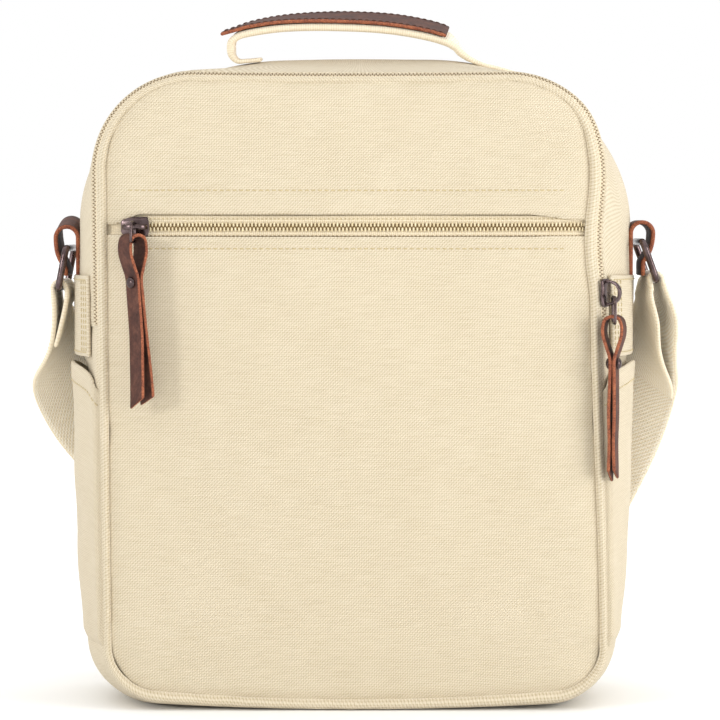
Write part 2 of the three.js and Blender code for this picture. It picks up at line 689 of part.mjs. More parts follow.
for (const f of gripFrames) f.centre.addScaledVector(f.normal, gripRise);
add("handle_grip", strip(gripFrames, slab(HANDLE.gripWide, LEATHER)), "leather");

// A slider, drawn with the zip along X, the way across it along Y and out along Z from the chain's top
function sliderGeometry(railDepth, rise) {
  const { long, wide, plate, rail, bridgeWide, bridge, reach } = SLIDER;
  const body = new THREE.Shape();
  const foot = GAP - railDepth;
  body.moveTo(-wide / 2, foot);
  if (railDepth > 0) {
    body.lineTo(-wide / 2 + rail, foot);
    body.lineTo(-wide / 2 + rail, GAP);
    body.lineTo(wide / 2 - rail, GAP);
    body.lineTo(wide / 2 - rail, foot);
  }
  body.lineTo(wide / 2, foot);
  body.lineTo(wide / 2, GAP + plate * 0.5);
  body.lineTo(wide / 2 - 1.2, GAP + plate);
  body.lineTo(-wide / 2 + 1.2, GAP + plate);
  body.lineTo(-wide / 2, GAP + plate * 0.5);
  const base = new THREE.ExtrudeGeometry(body, { depth: long, bevelEnabled: false });
  base.translate(0, 0, -long / 2);
  base.rotateX(Math.PI / 2);
  base.rotateZ(Math.PI / 2);

  const arch = new THREE.Shape();
  const seat = GAP + plate;
  const arcOf = (a, b) => spread(0, 180, 10).map((t) => [a * Math.cos(rad(t)), seat + b * Math.sin(rad(t))]);
  const outside = arcOf(reach + bridge, rise + bridge);
  const inside = arcOf(reach, rise).reverse();
  const sunk = seat - plate / 2;
  const left = [[-reach - bridge, sunk], [-reach, sunk]];
  const ring = [[reach + bridge, sunk], ...outside, ...left, ...inside, [reach, sunk]];
  arch.setFromPoints(ring.map(([x, y]) => new THREE.Vector2(x, y)));
  const loop = new THREE.ExtrudeGeometry(arch, { depth: bridgeWide, bevelEnabled: false });
  loop.translate(0, 0, -bridgeWide / 2);
  loop.rotateX(Math.PI / 2);
  return toGeometry(toSolid(base).add(toSolid(loop)));
}

// A leather pull: one strip folded into an eye round the wire at the origin, riveted, with two split ends
function pullGeometry(length, [left, right]) {
  const { wide, eye, eyeTop, pinch, rivet, slit } = PULL;
  const outer = eye + LEATHER;
  const centre = eyeTop - eye;
  const shape = new THREE.Shape();
  shape.moveTo(-left - LEATHER, 1.5 - length);
  shape.lineTo(-left, -length);
  shape.lineTo((right - left) / 2, slit);
  shape.lineTo(right, -length);
  shape.lineTo(right + LEATHER, 1.0 - length);
  shape.lineTo(LEATHER + right / 5, slit);
  shape.lineTo(LEATHER, pinch - 8);
  shape.lineTo(LEATHER, pinch);
  shape.quadraticCurveTo(outer, centre - 7, outer, centre);
  shape.absarc(0, centre, outer, 0, Math.PI, false);
  shape.quadraticCurveTo(-outer, centre - 7, -LEATHER, pinch);
  shape.lineTo(-LEATHER, pinch - 8);
  shape.lineTo(-LEATHER - left / 5, slit);
  const hole = new THREE.Path();
  hole.moveTo(0.2, pinch + 1);
  hole.quadraticCurveTo(eye, centre - 6, eye, centre);
  hole.absarc(0, centre, eye, 0, Math.PI, false);
  hole.quadraticCurveTo(-eye, centre - 6, -0.2, pinch + 1);
  shape.holes.push(hole);
  const leather = new THREE.ExtrudeGeometry(shape, { depth: wide, bevelEnabled: false, curveSegments: 6 });
  leather.translate(0, 0, -wide / 2);
  const bore = new THREE.CylinderGeometry(1.4, 1.4, 12, 12);
  bore.rotateZ(Math.PI / 2);
  bore.translate(0, rivet, 0);
  const cut = toGeometry(toSolid(leather).subtract(toSolid(bore)));
  cut.rotateX(Math.PI / 2);
  return cut;
}

// A rivet with a domed head at each end of its shank
function rivetGeometry() {
  const seat = LEATHER + GAP;
  const half = [[1.0, 0], [1.0, seat], [2.7, seat], [2.5, seat + 0.6], [1.5, seat + 1.1], [0, seat + 1.3]];
  const profile = [...half.slice(1).reverse().map(([r, h]) => [r, -h]), ...half.slice(1)];
  const spool = new THREE.LatheGeometry(profile.map(([r, h]) => new THREE.Vector2(r, h)), 16);
  spool.rotateZ(Math.PI / 2);
  return spool;
}

// One zip pull at its hinge: the leather and rivet, turned about the upright by the skew
function addPull(name, hinge, out, { skew, length, splay }) {
  const turned = out.clone().applyAxisAngle(vec(0, 0, 1), rad(skew));
  const sideways = vec(0, 0, 1).cross(turned);
  const leather = add(name, pullGeometry(length, splay), "leather");
  place(leather, hinge, sideways, turned.clone().negate());
  const rivet = add(`${name}_rivet`, rivetGeometry(), "metal");
  place(rivet, hinge.clone().add(vec(0, 0, PULL.rivet)), sideways, turned.clone().negate());
}

// A pull's wire loop, upright, from its upper wire to the hinge
function addPullRing(name, hinge, top, out) {
  const high = (top - hinge.z) / 2;
  const loop = add(name, wireLoop(PULL.ringHalf, high, 2.2, PULL.wire, 6), "metal");
  place(loop, hinge.clone().add(vec(0, 0, high)), out, vec(0, 0, 1));
}

// The pocket zip's slider, square to the front, its loop and pull turned to the right
{
  const frame = pocketZipFrame(POCKET_PULL.x);
  const out = frame.normal.clone().setZ(0).normalize();
  const slider = add("pocket_slider", sliderGeometry(POCKET_CHAIN.top - GAP, POCKET_PULL.bridge), "metal");
  const seat = frame.centre.clone().addScaledVector(frame.normal, POCKET_CHAIN.top);
  place(slider, seat, vec(0, 0, 1).cross(out), vec(0, 0, 1));
  const back = POCKET_CHAIN.top + GAP + SLIDER.plate + GAP + PULL.wire;
  const turned = out.clone().applyAxisAngle(vec(0, 0, 1), rad(POCKET_PULL.yaw));
  const hinge = frame.centre.clone().addScaledVector(out, back).addScaledVector(turned, PULL.ringHalf);
  const top = frame.centre.z + POCKET_PULL.ringTop;
  hinge.z += POCKET_PULL.hinge;
  addPullRing("pocket_pull_ring", hinge, top, turned);
  addPull("pocket_pull", hinge, turned, POCKET_PULL);
}

// The main zip's slider on the right, its loop hung through the bridge
{
  const row = girth(2.5);
  const s = 3 + (MAIN_PULL.z - SEAM_Z) / (row.top - row.topHigh - SEAM_Z);
  const { centre, normal } = mainZipFrame(s);
  const seat = centre.addScaledVector(normal, MAIN_CHAIN.top);
  const slider = add("main_slider", sliderGeometry(0, MAIN_PULL.bridge), "metal");
  place(slider, seat, vec(0, 0, 1), normal.clone().cross(vec(0, 0, 1)).normalize());
  const through = seat.clone().addScaledVector(normal, GAP + SLIDER.plate + MAIN_PULL.through);
  const out = vec(0, -1, 0);
  const hinge = vec(through.x, through.y - MAIN_PULL.ringBack, seat.z + MAIN_PULL.hinge);
  addPullRing("main_pull_ring", hinge, seat.z + MAIN_PULL.ringTop, out);
  addPull("main_pull", hinge, out, MAIN_PULL);
}

export default group;
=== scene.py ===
"""A cream cotton canvas shoulder bag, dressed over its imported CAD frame.

Sizes are millimetres in the frame's own axes, +Z up with the front towards -Y, and turn to metres when a
mesh is made. The surfaces of the body repeat the sizes of the CAD source, and the looks are built on them:
seam puckers, hems, stitches, zip coils, split leather pulls and woven webbing.
"""

import math

import bpy
import numpy as np
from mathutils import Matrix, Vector


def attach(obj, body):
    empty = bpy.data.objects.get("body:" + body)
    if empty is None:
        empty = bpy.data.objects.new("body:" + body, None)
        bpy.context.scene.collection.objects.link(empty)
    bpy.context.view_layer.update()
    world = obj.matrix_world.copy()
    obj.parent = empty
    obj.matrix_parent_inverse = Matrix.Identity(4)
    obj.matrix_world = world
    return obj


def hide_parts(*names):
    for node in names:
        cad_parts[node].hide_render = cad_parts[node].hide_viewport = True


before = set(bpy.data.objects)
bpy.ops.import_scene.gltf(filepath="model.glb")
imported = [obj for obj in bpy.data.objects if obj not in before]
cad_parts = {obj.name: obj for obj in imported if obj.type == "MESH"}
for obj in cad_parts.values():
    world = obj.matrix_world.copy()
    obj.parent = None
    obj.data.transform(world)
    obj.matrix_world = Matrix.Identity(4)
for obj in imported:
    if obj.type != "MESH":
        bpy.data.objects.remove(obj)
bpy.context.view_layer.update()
MM = 0.001
CLOTH_MAP = "Cloth"  # every mesh carries its flat millimetres under this name

# Camera: level with the upper third of the bag, a long lens, looking a little down
CAMERA_AT = (1.5, -1446.0, 225.0)
CAMERA_AIM = (3.0, -46.0, 162.4)
FRAME_WIDTH = 331.2  # what the picture spans at the front of the bag
SENSOR = 36.0

camera = bpy.data.objects.new("camera", bpy.data.cameras.new("camera"))
bpy.context.scene.collection.objects.link(camera)
camera.location = Vector(CAMERA_AT) * MM
aim = Vector(CAMERA_AIM) - Vector(CAMERA_AT)
camera.rotation_euler = aim.to_track_quat("-Z", "Y").to_euler()
camera.data.sensor_width = SENSOR
camera.data.lens = SENSOR * aim.length / FRAME_WIDTH
camera.data.clip_start = 0.05
camera.data.clip_end = 60.0
bpy.context.scene.camera = camera

# Thicknesses and clearances, as in the CAD source
CANVAS = 1.8
ROLL = 1.0
WEBBING = 2.0
LEATHER = 1.9
GAP = 0.3
SEAM_TUCK = 0.25  # the panels' edges run on under the rolled edge, so that no seam gapes

# The body: one rounded outline per row, from the front seam to the back seam
SEAM_Z = 178.0
TUCK_Z = 210.0
BOW_REACH, SAG_REACH, LEAN_MIDDLE = 60.0, 60.0, 150.0
# The sides are pressed in behind the pockets. The left mouth gapes, the right one lies nearly flat
PRESS_LEFT, PRESS_RIGHT = 5.0, 1.5
PRESS_MIDDLE, PRESS_REACH = 5, 2.3
PRESS_LOW, PRESS_HIGH, PRESS_ACROSS = (45.0, 90.0), (167.5, 157.0), (90.0, 115.0)
COLUMNS = "y half base top base_r top_wide top_high tuck sag bow lean draw".split()
GIRTHS = np.array(
    [
        (-44.6, 112.8, 5.2, 291.6, 20, 42, 42, 0, 2.0, 6.0, -0.008, 6.0),  # groove
        (-46.8, 114.8, 2.7, 292.7, 22.5, 44, 44, 0, 2.0, 5.5, -0.008, 5.6),  # crest of the roll
        (-44.5, 117.2, 0.5, 294.2, 25, 46, 46, 1, 2.0, 5.0, -0.008, 5.2),  # zip, front
        (-39.5, 120.0, 0.2, 296.0, 28, 48, 48, 2, 1.5, 3.5, -0.008, 4.6),  # zip, back
        (-20.0, 127.5, 0.0, 299.6, 30, 88, 72, 5.5, 0.5, 0.0, 0.004, 2.0),  # front quarter
        (5.0, 131.0, 0.0, 302.5, 30, 98, 76, 7, 0.0, 0.0, 0.006, 0),  # middle
        (30.0, 128.0, 0.0, 300.0, 30, 94, 72, 5.5, 0.0, 0.0, 0.006, 0),  # rear quarter
        (43.0, 121.0, 2.0, 295.0, 26, 82, 64, 3, 0.0, 1.0, 0.006, 0),  # back turn
        (46.5, 116.0, 6.0, 291.0, 20, 74, 58, 1, 0.0, 2.0, 0.006, 0),  # back seam
    ]
)
# The pocket zip draws the right side in, most of all at its own height
DRAWN_PULL, DRAWN_REACH, DRAWN_SHARE = 217.0, 30.0, 0.6
DRAWN_LOW, DRAWN_HIGH, DRAWN_ACROSS = (30.0, 200.0), (285.0, 255.0), (0.4, 0.95)
# How much flatter the rolled edge is along the top, and how far below it that starts and is whole
ROLL_FLAT, FLAT_STARTS, FLAT_WHOLE = 1.6, 34, 6
SHOULDER_RISE, SHOULDER_RUN = 2.8, 4.0
DOME_FRONT, DOME_BACK, DOME_MIDDLE, DOME_REACH = 5.5, 4.0, 148.0, 144.0
SLOT_LOW, SLOT_MIDDLE, SLOT_HIGH = 218.5, 223.55, 229.8
PANEL_HIGH, PANEL_WIDE, PANEL_TURN = 140, 111, 128  # half sizes of a panel, and its mean reach
# Dents of the front: x, z, width, height, depth
DENTS = (
    (-103, 130, 13, 7, 1.8),
    (-84, 172, 10, 34, 0.9),
    (-107, 18, 8, 10, 1.8),
    (108, 158, 9, 6, 1.3),
    (109, 134, 9, 6, 1.2),
    (107, 24, 9, 9, 1.6),
    (0, 16, 70, 7, 1.0),
)


def ramp(value, start, end):
    t = np.clip((value - start) / (end - start), 0, 1)
    return t * t * (3 - 2 * t)


def bell(t):
    return np.maximum(0, 1 - t * t) ** 2


def hump(t):
    return np.exp(-(t**2))


def together(*values):
    """Coordinates of one place each, stacked last."""
    return np.stack(np.broadcast_arrays(*values), -1)


UP = np.array([0, 0, 1.0])


def circle(sides):
    return np.linspace(0, 2 * math.pi, sides, endpoint=False)


def unit(vectors):
    vectors = np.asarray(vectors, float)
    return vectors / np.maximum(np.linalg.norm(vectors, axis=-1, keepdims=True), 1e-9)


def along(points):
    """Distance gone at each point of a line."""
    return np.r_[0, np.cumsum(np.linalg.norm(np.diff(points, axis=0), axis=-1))]


def at_distance(line, gone, at):
    """Values of a line at distances along it."""
    return np.stack([np.interp(at, gone, column) for column in line.T], -1)


def unevenness(a, b, pitch, seed, count=8):
    """Seeded waves of about one pitch, in mm, over two coordinates; about -1 to 1."""
    rng = np.random.default_rng(seed)
    total = np.zeros(np.broadcast(a, b).shape)
    for _ in range(count):
        turn, phase = rng.uniform(0, 2 * math.pi, 2)
        length = pitch * rng.uniform(0.7, 1.7)
        total += np.sin((a * math.cos(turn) + b * math.sin(turn)) * 2 * math.pi / length + phase)
    return total / math.sqrt(2 * count)


# Body surfaces


def girth(v):
    """The outline row at any depth number, smooth through the table."""
    v = np.asarray(v, float)
    last = len(GIRTHS) - 1
    i = np.clip(np.floor(v).astype(int), 0, last - 1)
    t = (v - i)[..., None]
    a, b, c, d = (GIRTHS[np.clip(i + k, 0, last)] for k in (-1, 0, 1, 2))
    rows = b + 0.5 * t * (c - a + t * (2 * a - 5 * b + 4 * c - d + t * (3 * (b - c) + d - a)))
    row = {key: rows[..., k] for k, key in enumerate(COLUMNS)}
    for key in ("base", "sag", "bow"):
        row[key] = np.maximum(0, row[key])
    return row


def settle(row, x, z):
    """The base draws in and bows, the top sags, the pocket zip draws the right in and the whole leans."""
    across = x / row["half"]
    tuck = row["tuck"] * np.clip((TUCK_Z - z) / TUCK_Z, 0, 1) ** 2
    lift = row["bow"] * across * across * ramp(z, BOW_REACH, 0.0)
    sag = row["sag"] * np.maximum(0, 1 - across * across) * ramp(z, row["top"] - SAG_REACH, row["top"])
    lean = row["lean"] * (z - LEAN_MIDDLE)
    overall = DRAWN_SHARE * ramp(z, *DRAWN_LOW) * ramp(z, *DRAWN_HIGH)
    by_zip = (1 - DRAWN_SHARE) * bell((z - DRAWN_PULL) / DRAWN_REACH)
    drawn = row["draw"] * ramp(across, *DRAWN_ACROSS) * (overall + by_zip)
    return x - across * tuck + lean - drawn, z + lift - sag


def outline(row, s):
    """s runs 0 to 6 from the base over the right to the top, 6 to 12 down the left."""
    place = np.mod(s, 12)
    side = np.where(place > 6, -1.0, 1.0)
    h = np.where(place > 6, 12 - place, place)
    zone = np.minimum(np.floor(h).astype(int), 5)
    t = h - zone
    turn = t * math.pi / 2
    sizes = [row[k] for k in ("half", "base", "top", "base_r", "top_wide", "top_high")]
    zone, t, turn, half, base, top, low_r, wide, high = np.broadcast_arrays(zone, t, turn, *sizes)
    zones = (
        (t * (half - low_r), base),
        (half - low_r + low_r * np.sin(turn), base + low_r - low_r * np.cos(turn)),
        (half, base + low_r + t * (SEAM_Z - base - low_r)),
        (half, SEAM_Z + t * (top - high - SEAM_Z)),
        (half - wide + wide * np.cos(turn), top - high + high * np.sin(turn)),
        ((1 - t) * (half - wide), top),
    )
    x, z = (np.choose(zone, choices) for choices in zip(*zones))
    return side * x, z


def body_point(v, s, pressed=False):
    """The body's outer face at a depth number v and a place s on the outline there."""
    v = np.asarray(v, float)
    row = girth(v)
    x, z = settle(row, *outline(row, s))
    if pressed:
        depth = np.where(x > 0, PRESS_RIGHT, PRESS_LEFT) * bell((v - PRESS_MIDDLE) / PRESS_REACH)
        depth = depth * ramp(z, *PRESS_LOW) * ramp(z, *PRESS_HIGH)
        x = x - np.sign(x) * depth * ramp(np.abs(x), *PRESS_ACROSS)
    flat = ROLL_FLAT * bell(v - 1) * ramp(z, row["top"] - FLAT_STARTS, row["top"] - FLAT_WHOLE)
    return together(x, row["y"] + flat, z)


def side_point(side, v, z):
    row = girth(v)
    return together(settle(row, side * row["half"], z)[0], row["y"], z)


def edge_at(row, z):
    """Half the width of a panel's outline at a height."""
    low = np.maximum(0, row["base"] + row["base_r"] - z) / row["base_r"]
    high = np.maximum(0, z - row["top"] + row["top_high"]) / row["top_high"]
    wide = np.where(low > 0, row["base_r"], row["top_wide"])
    return row["half"] - wide + wide * np.sqrt(np.maximum(0, 1 - np.maximum(low, high) ** 2))


def inset_from(row, x, z):
    """About the distance inside a panel's outline."""
    upper = z > (row["base"] + row["top"]) / 2
    wide = np.where(upper, row["top_wide"], row["base_r"])
    high = np.where(upper, row["top_high"], row["base_r"])
    qx = np.abs(x) - (row["half"] - wide)
    qz = np.where(upper, z - (row["top"] - high), row["base"] + high - z)
    corner = (1 - np.hypot(qx / wide, qz / high)) * np.minimum(wide, high)
    straight = np.minimum(wide - qx, high - qz)
    return np.maximum(0, np.where((qx > 0) & (qz > 0), corner, straight))


FRONT_ROW = {key: float(GIRTHS[0][k]) for k, key in enumerate(COLUMNS)}
BACK_ROW = {key: float(GIRTHS[-1][k]) for k, key in enumerate(COLUMNS)}


def stand_out(row, dome, x, z):
    u = x / row["half"]
    w = (z - DOME_MIDDLE) / DOME_REACH
    shoulder = SHOULDER_RISE * (1 - np.exp(-inset_from(row, x, z) / SHOULDER_RUN))
    return shoulder + dome * np.maximum(0, 1 - u * u) * np.maximum(0, 1 - w * w)


def seam_pucker(row, x, z, seed, reach=7.0, pitch=11.0):
    """Short gathers that run in from a seam and die out."""
    turn = np.arctan2((z - DOME_MIDDLE) / PANEL_HIGH, x / PANEL_WIDE) * PANEL_TURN
    return unevenness(turn, 0 * turn, pitch, seed) * np.exp(-inset_from(row, x, z) / reach)


def front_point(x, z, detail=True):
    """The front's outer face. detail adds what the solids leave out."""
    out = stand_out(FRONT_ROW, DOME_FRONT, x, z)
    for dent_x, dent_z, wide, high, depth in DENTS:
        out = out - depth * hump((x - dent_x) / wide) * hump((z - dent_z) / high)
    if detail:
        out = out + front_detail(x, z)
    px, pz = settle(FRONT_ROW, x, z)
    return together(px, FRONT_ROW["y"] - out, pz)


FRONT_STITCH_ROWS = (240.4, 213.6)


def front_detail(x, z):
    """Puckers at the seams, a soft swell, stitched furrows and the turned edges of the slot."""
    inside = inset_from(FRONT_ROW, x, z)
    out = 0.30 * seam_pucker(FRONT_ROW, x, z, 11) * ramp(inside, 0, 2.0)
    out = out + 0.40 * unevenness(x, z * 0.6, 62, 12) * ramp(inside, 2, 30)
    sewn = ramp(inside, 1, 6)
    for row in FRONT_STITCH_ROWS:
        out = out - 0.35 * hump((z - row) / 1.1) * sewn
        out = out + 0.14 * unevenness(x, 0 * x, 7.5, 13) * hump((z - row) / 4.0) * sewn
    for edge in (SLOT_LOW, SLOT_HIGH):
        out = out + 0.35 * hump((z - edge) / 3.2) * ramp(inside, 2, 14)
    return out


def back_point(x, z):
    out = stand_out(BACK_ROW, DOME_BACK, x, z)
    inside = inset_from(BACK_ROW, x, z)
    out = out + 0.35 * seam_pucker(BACK_ROW, x, z, 21) * ramp(inside, 0, 2.0)
    out = out + 0.8 * unevenness(x, z * 0.6, 80, 22) * ramp(inside, 2, 35)
    px, pz = settle(BACK_ROW, x, z)
    return together(px, BACK_ROW["y"] + out, pz)


def even_stations(start, end, step, v=4.0):
    """Places on the outline, evenly spaced in mm."""
    fine = np.linspace(start, end, 2400)
    gone = along(body_point(np.full_like(fine, v), fine))
    return np.interp(np.linspace(0, gone[-1], int(gone[-1] / step) + 1), gone, fine)


def centripetal(points, at):
    """A smooth line through points; at counts them from 0."""
    p = np.asarray(points, float)
    p = np.vstack([2 * p[0] - p[1], p, 2 * p[-1] - p[-2]])
    at = np.asarray(at, float)
    i = np.clip(np.floor(at + 1e-9).astype(int), 0, len(p) - 4)
    t = (at - i)[:, None]
    p0, p1, p2, p3 = (p[i + k] for k in range(4))
    steps = (p1 - p0, p2 - p1, p3 - p2)
    d0, d1, d2 = (np.sqrt(np.linalg.norm(step, axis=1, keepdims=True)) for step in steps)
    start = ((p1 - p0) / d0 - (p2 - p0) / (d0 + d1) + (p2 - p1) / d1) * d1
    end = ((p2 - p1) / d1 - (p3 - p1) / (d1 + d2) + (p3 - p2) / d2) * d1
    return p1 + t * (start + t * (3 * (p2 - p1) - 2 * start - end + t * (2 * (p1 - p2) + start + end)))


# Mesh parts: points, faces, the corners' flat millimetres and a finish for each face


class Part:
    def __init__(self, points, faces, corners, finish):
        self.points = np.asarray(points, float)
        self.faces = faces
        self.corners = corners
        self.finish = finish if isinstance(finish, list) else [finish] * len(faces)

    def facing_out(self):
        """Turns the faces outwards, by the sign of the volume that they close."""
        volume = 0.0
        for face in self.faces:
            a = self.points[face[0]]
            for k in range(1, len(face) - 1):
                volume += a @ np.cross(self.points[face[k]], self.points[face[k + 1]])
        return self.turned_over() if volume < 0 else self

    def turned_over(self):
        self.faces = [face[::-1] for face in self.faces]
        self.corners = [corner[::-1] for corner in self.corners]
        return self


def loft(rings, uv, finish, wrap=False, paired=False, rim=None, turned=None):
    """A closed skin through matching rings. paired caps the ends of a flat wall, whose ring starts at a rim;
    rim is the finish of a wall's two rims and ends. turned says that the faces look inwards as built."""
    count, around = rings.shape[:2]
    r, c = np.meshgrid(np.arange(count if wrap else count - 1), np.arange(around), indexing="ij")
    square = [(r, c), (r, (c + 1) % around), (r + 1, (c + 1) % around), (r + 1, c)]
    faces = np.stack([(a % count) * around + b for a, b in square], -1).reshape(-1, 4).tolist()
    corners = np.stack([uv[a, b] for a, b in square], 2).reshape(-1, 4, 2).tolist()
    half = around // 2 - 1
    rims = {0, around - 1, half, half + 1}
    finishes = [rim if rim and k in rims else finish for k in c.ravel()]
    if not wrap:
        if paired:
            caps = [(around - 1, 0, 1), (half, half + 1, half + 2)]
            caps += [(j, j + 1, around - j - 1, around - j) for j in range(1, half)]
        else:
            caps = [tuple(range(around))]
        for row, order in ((0, -1), (count - 1, 1)):
            for cap in caps:
                faces.append([row * around + k for k in cap[::order]])
                corners.append([uv[row, k].tolist() for k in cap[::order]])
                finishes.append(rim or finish)
    part = Part(rings.reshape(-1, 3), faces, corners, finishes)
    if turned is None:
        return part.facing_out()
    return part.turned_over() if turned else part


def bare_loft(rings, finish):
    """A skin whose finish needs no flat millimetres."""
    return loft(rings, np.zeros(rings.shape[:2] + (2,)), finish)


def normals(grid, wrap=False):
    """Across times along, at each point of a grid."""
    if wrap:
        rows = np.roll(grid, -1, 0) - np.roll(grid, 1, 0)
    else:
        rows = np.gradient(grid, axis=0)
    return unit(np.cross(np.gradient(grid, axis=1), rows))


def flat_map(grid, wrap=False):
    """Millimetres across and along a grid, measured down its middle."""
    rows, cols = grid.shape[:2]
    line = grid[:, cols // 2]
    if wrap:
        line = np.vstack([line, line[:1]])
    return together(along(grid[rows // 2])[None, :], along(line)[:, None])


RIM_ROUND, END_THIN = 0.3, 0.45  # how far a wall's rims stand out and how thin its ends are, as shares


def shell(outer, thick, finish, turn=1, wrap=False, uv=None, rim=None):
    """A wall behind a grid of its outer face, rows by columns, with rounded rims."""
    uv = flat_map(outer, wrap) if uv is None else uv
    out = turn * normals(outer, wrap)
    thick = np.broadcast_to(thick, outer.shape[:2])[..., None]
    inner = outer - thick * out
    middle = (outer + inner) / 2
    low = middle[:, 0] + unit(outer[:, 0] - outer[:, 1]) * thick[:, 0] * RIM_ROUND
    high = middle[:, -1] + unit(outer[:, -1] - outer[:, -2]) * thick[:, -1] * RIM_ROUND
    rings = np.concatenate([low[:, None], outer, high[:, None], inner[:, ::-1]], 1)
    flat = np.concatenate([uv[:, :1], uv, uv[:, -1:], uv[:, ::-1]], 1)
    if not wrap:
        core = np.concatenate([low[:, None], middle, high[:, None], middle[:, ::-1]], 1)
        size = np.concatenate([thick[:, :1], thick, thick[:, -1:], thick[:, ::-1]], 1)
        ends = []
        for end, inwards in ((0, 1), (-1, -2)):
            past = unit(core[end] - core[inwards]) * size[end] * RIM_ROUND
            ends.append(core[end] + END_THIN * (rings[end] - core[end]) + past)
        rings = np.concatenate([ends[0][None], rings, ends[1][None]], 0)
        flat = np.concatenate([flat[:1], flat, flat[-1:]], 0)
    return loft(rings, flat, finish, wrap, paired=True, rim=rim, turned=turn < 0)


def tube(path, radius, finish, up, sides=12, wrap=True):
    """A round wire along a line that lies in the plane square to up."""
    path = np.asarray(path, float)
    if wrap:
        way = np.roll(path, -1, 0) - np.roll(path, 1, 0)
    else:
        way = np.gradient(path, axis=0)
    across = unit(np.cross(way, up))
    lift = unit(np.cross(across, unit(way)))
    turn = circle(sides)
    ring = across[:, None] * np.cos(turn)[:, None] + lift[:, None] * np.sin(turn)[:, None]
    gone = along(np.vstack([path, path[:1]]) if wrap else path)
    uv = together(turn[None, :] * radius, gone[:, None])
    return loft(path[:, None] + radius * ring, uv, finish, wrap)


def bars(start, end, up, radius, finish, bow=0.0, sides=6):
    """Many small round-ended rods at once, bowed up between their two ends."""
    up = np.broadcast_to(up, start.shape)
    t = np.array([0.0, 0.1, 0.35, 0.65, 0.9, 1.0])
    size = np.array([0.45, 0.9, 1.0, 1.0, 0.9, 0.45]) * radius
    way = unit(end - start)
    across = unit(np.cross(way, up))
    lift = unit(np.cross(across, way))
    centre = start[:, None] + (end - start)[:, None] * t[None, :, None]
    centre = centre + lift[:, None] * (bow * (4 * t * (1 - t)))[None, :, None]
    turn = circle(sides)
    ring = across[:, None] * np.cos(turn)[:, None] + lift[:, None] * np.sin(turn)[:, None]
    rings = centre[:, :, None] + size[None, :, None, None] * ring[:, None]
    count, rows = len(start), len(t)
    r, c = np.meshgrid(np.arange(rows - 1), np.arange(sides), indexing="ij")
    square = [(r, c), (r + 1, c), (r + 1, (c + 1) % sides), (r, (c + 1) % sides)]
    one = np.stack([a * sides + b for a, b in square], -1).reshape(-1, 4)
    ends = np.array([np.arange(sides), (rows - 1) * sides + np.arange(sides)[::-1]])
    length = np.linalg.norm(end - start, axis=1)
    flat = together(turn * radius, t[:, None] * length.mean()).reshape(-1, 2)
    faces = []
    for k in range(count):
        base = k * rows * sides
        faces += (one + base).tolist() + (ends + base).tolist()
    corners = (flat[one].tolist() + flat[ends].tolist()) * count
    return Part(rings.reshape(-1, 3), faces, corners, finish)


def lathe(profile, at, axis, finish, sides=28):
    """A turned shape: (radius, height) pairs about an axis."""
    axis = unit(axis)
    first = unit(np.cross(axis, (0.3, 0.2, 0.9)))
    second = np.cross(axis, first)
    turn = circle(sides)
    ring = first * np.cos(turn)[:, None] + second * np.sin(turn)[:, None]
    rings = np.stack([at + h * axis + r * ring for r, h in profile])
    return bare_loft(rings, finish)


def dress(name, parts, body="bag", sharp=None):
    """One object from its parts, standing for the CAD node of its name and riding on its body."""
    points, faces, corners, finishes = [], [], [], []
    base = 0
    for part in parts:
        points.append(part.points)
        faces += [[k + base for k in face] for face in part.faces]
        corners += part.corners
        finishes += part.finish
        base += len(part.points)
    mesh = bpy.data.meshes.new(name)
    mesh.from_pydata((np.vstack(points) * MM).tolist(), [], faces)
    used = list(dict.fromkeys(finishes))
    for finish in used:
        mesh.materials.append(finish)
    index = {finish: k for k, finish in enumerate(used)}
    mesh.polygons.foreach_set("material_index", [index[f] for f in finishes])
    mesh.polygons.foreach_set("use_smooth", [True] * len(faces))
    layer = mesh.uv_layers.new(name=CLOTH_MAP)
    layer.data.foreach_set("uv", np.array([c for corner in corners for c in corner], np.float32).ravel())
    if sharp:
        mesh.set_sharp_from_angle(angle=math.radians(sharp))
    mesh.update()
    piece = bpy.data.objects.new(name, mesh)
    bpy.context.scene.collection.objects.link(piece)
    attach(piece, body)
    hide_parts(name)
    return piece


# Materials


def linear(hexed):
    """An sRGB hex colour as linear RGBA."""
    parts = [int(hexed[k : k + 2], 16) / 255 for k in (1, 3, 5)]
    return [c / 12.92 if c <= 0.04045 else ((c + 0.055) / 1.055) ** 2.4 for c in parts] + [1.0]


VECTOR = "ShaderNodeVectorMath"
MAP_RANGE = "ShaderNodeMapRange"


def node(tree, kind, inputs=None, out=0, **settings):
    """Adds a node with its settings; inputs are values or the sockets that feed it. Returns one output."""
    made = tree.nodes.new(kind)
    for key, value in settings.items():
        setattr(made, key, value)
    for key, value in (inputs or {}).items():
        if isinstance(value, bpy.types.NodeSocket):
            tree.links.new(value, made.inputs[key])
        else:
            made.inputs[key].default_value = value
    return made.outputs[out] if made.outputs else made


def maths(tree, operation, *values):
    return node(tree, "ShaderNodeMath", dict(enumerate(values)), operation=operation)


def noise(tree, place, size, detail=2.0, out=0, **more):
    """Noise whose blotches are about one size across, in the units of its place."""
    inputs = {"Vector": place, "Scale": 1 / size, "Detail": detail, **more}
    return node(tree, "ShaderNodeTexNoise", inputs, out=out)


def new_material(name):
    material = bpy.data.materials.new(name)
    material.use_nodes = True
    material.node_tree.nodes.clear()
    return material, material.node_tree


def surface(tree, inputs):
    shader = node(tree, "ShaderNodeBsdfPrincipled", inputs)
    node(tree, "ShaderNodeOutputMaterial", {"Surface": shader})


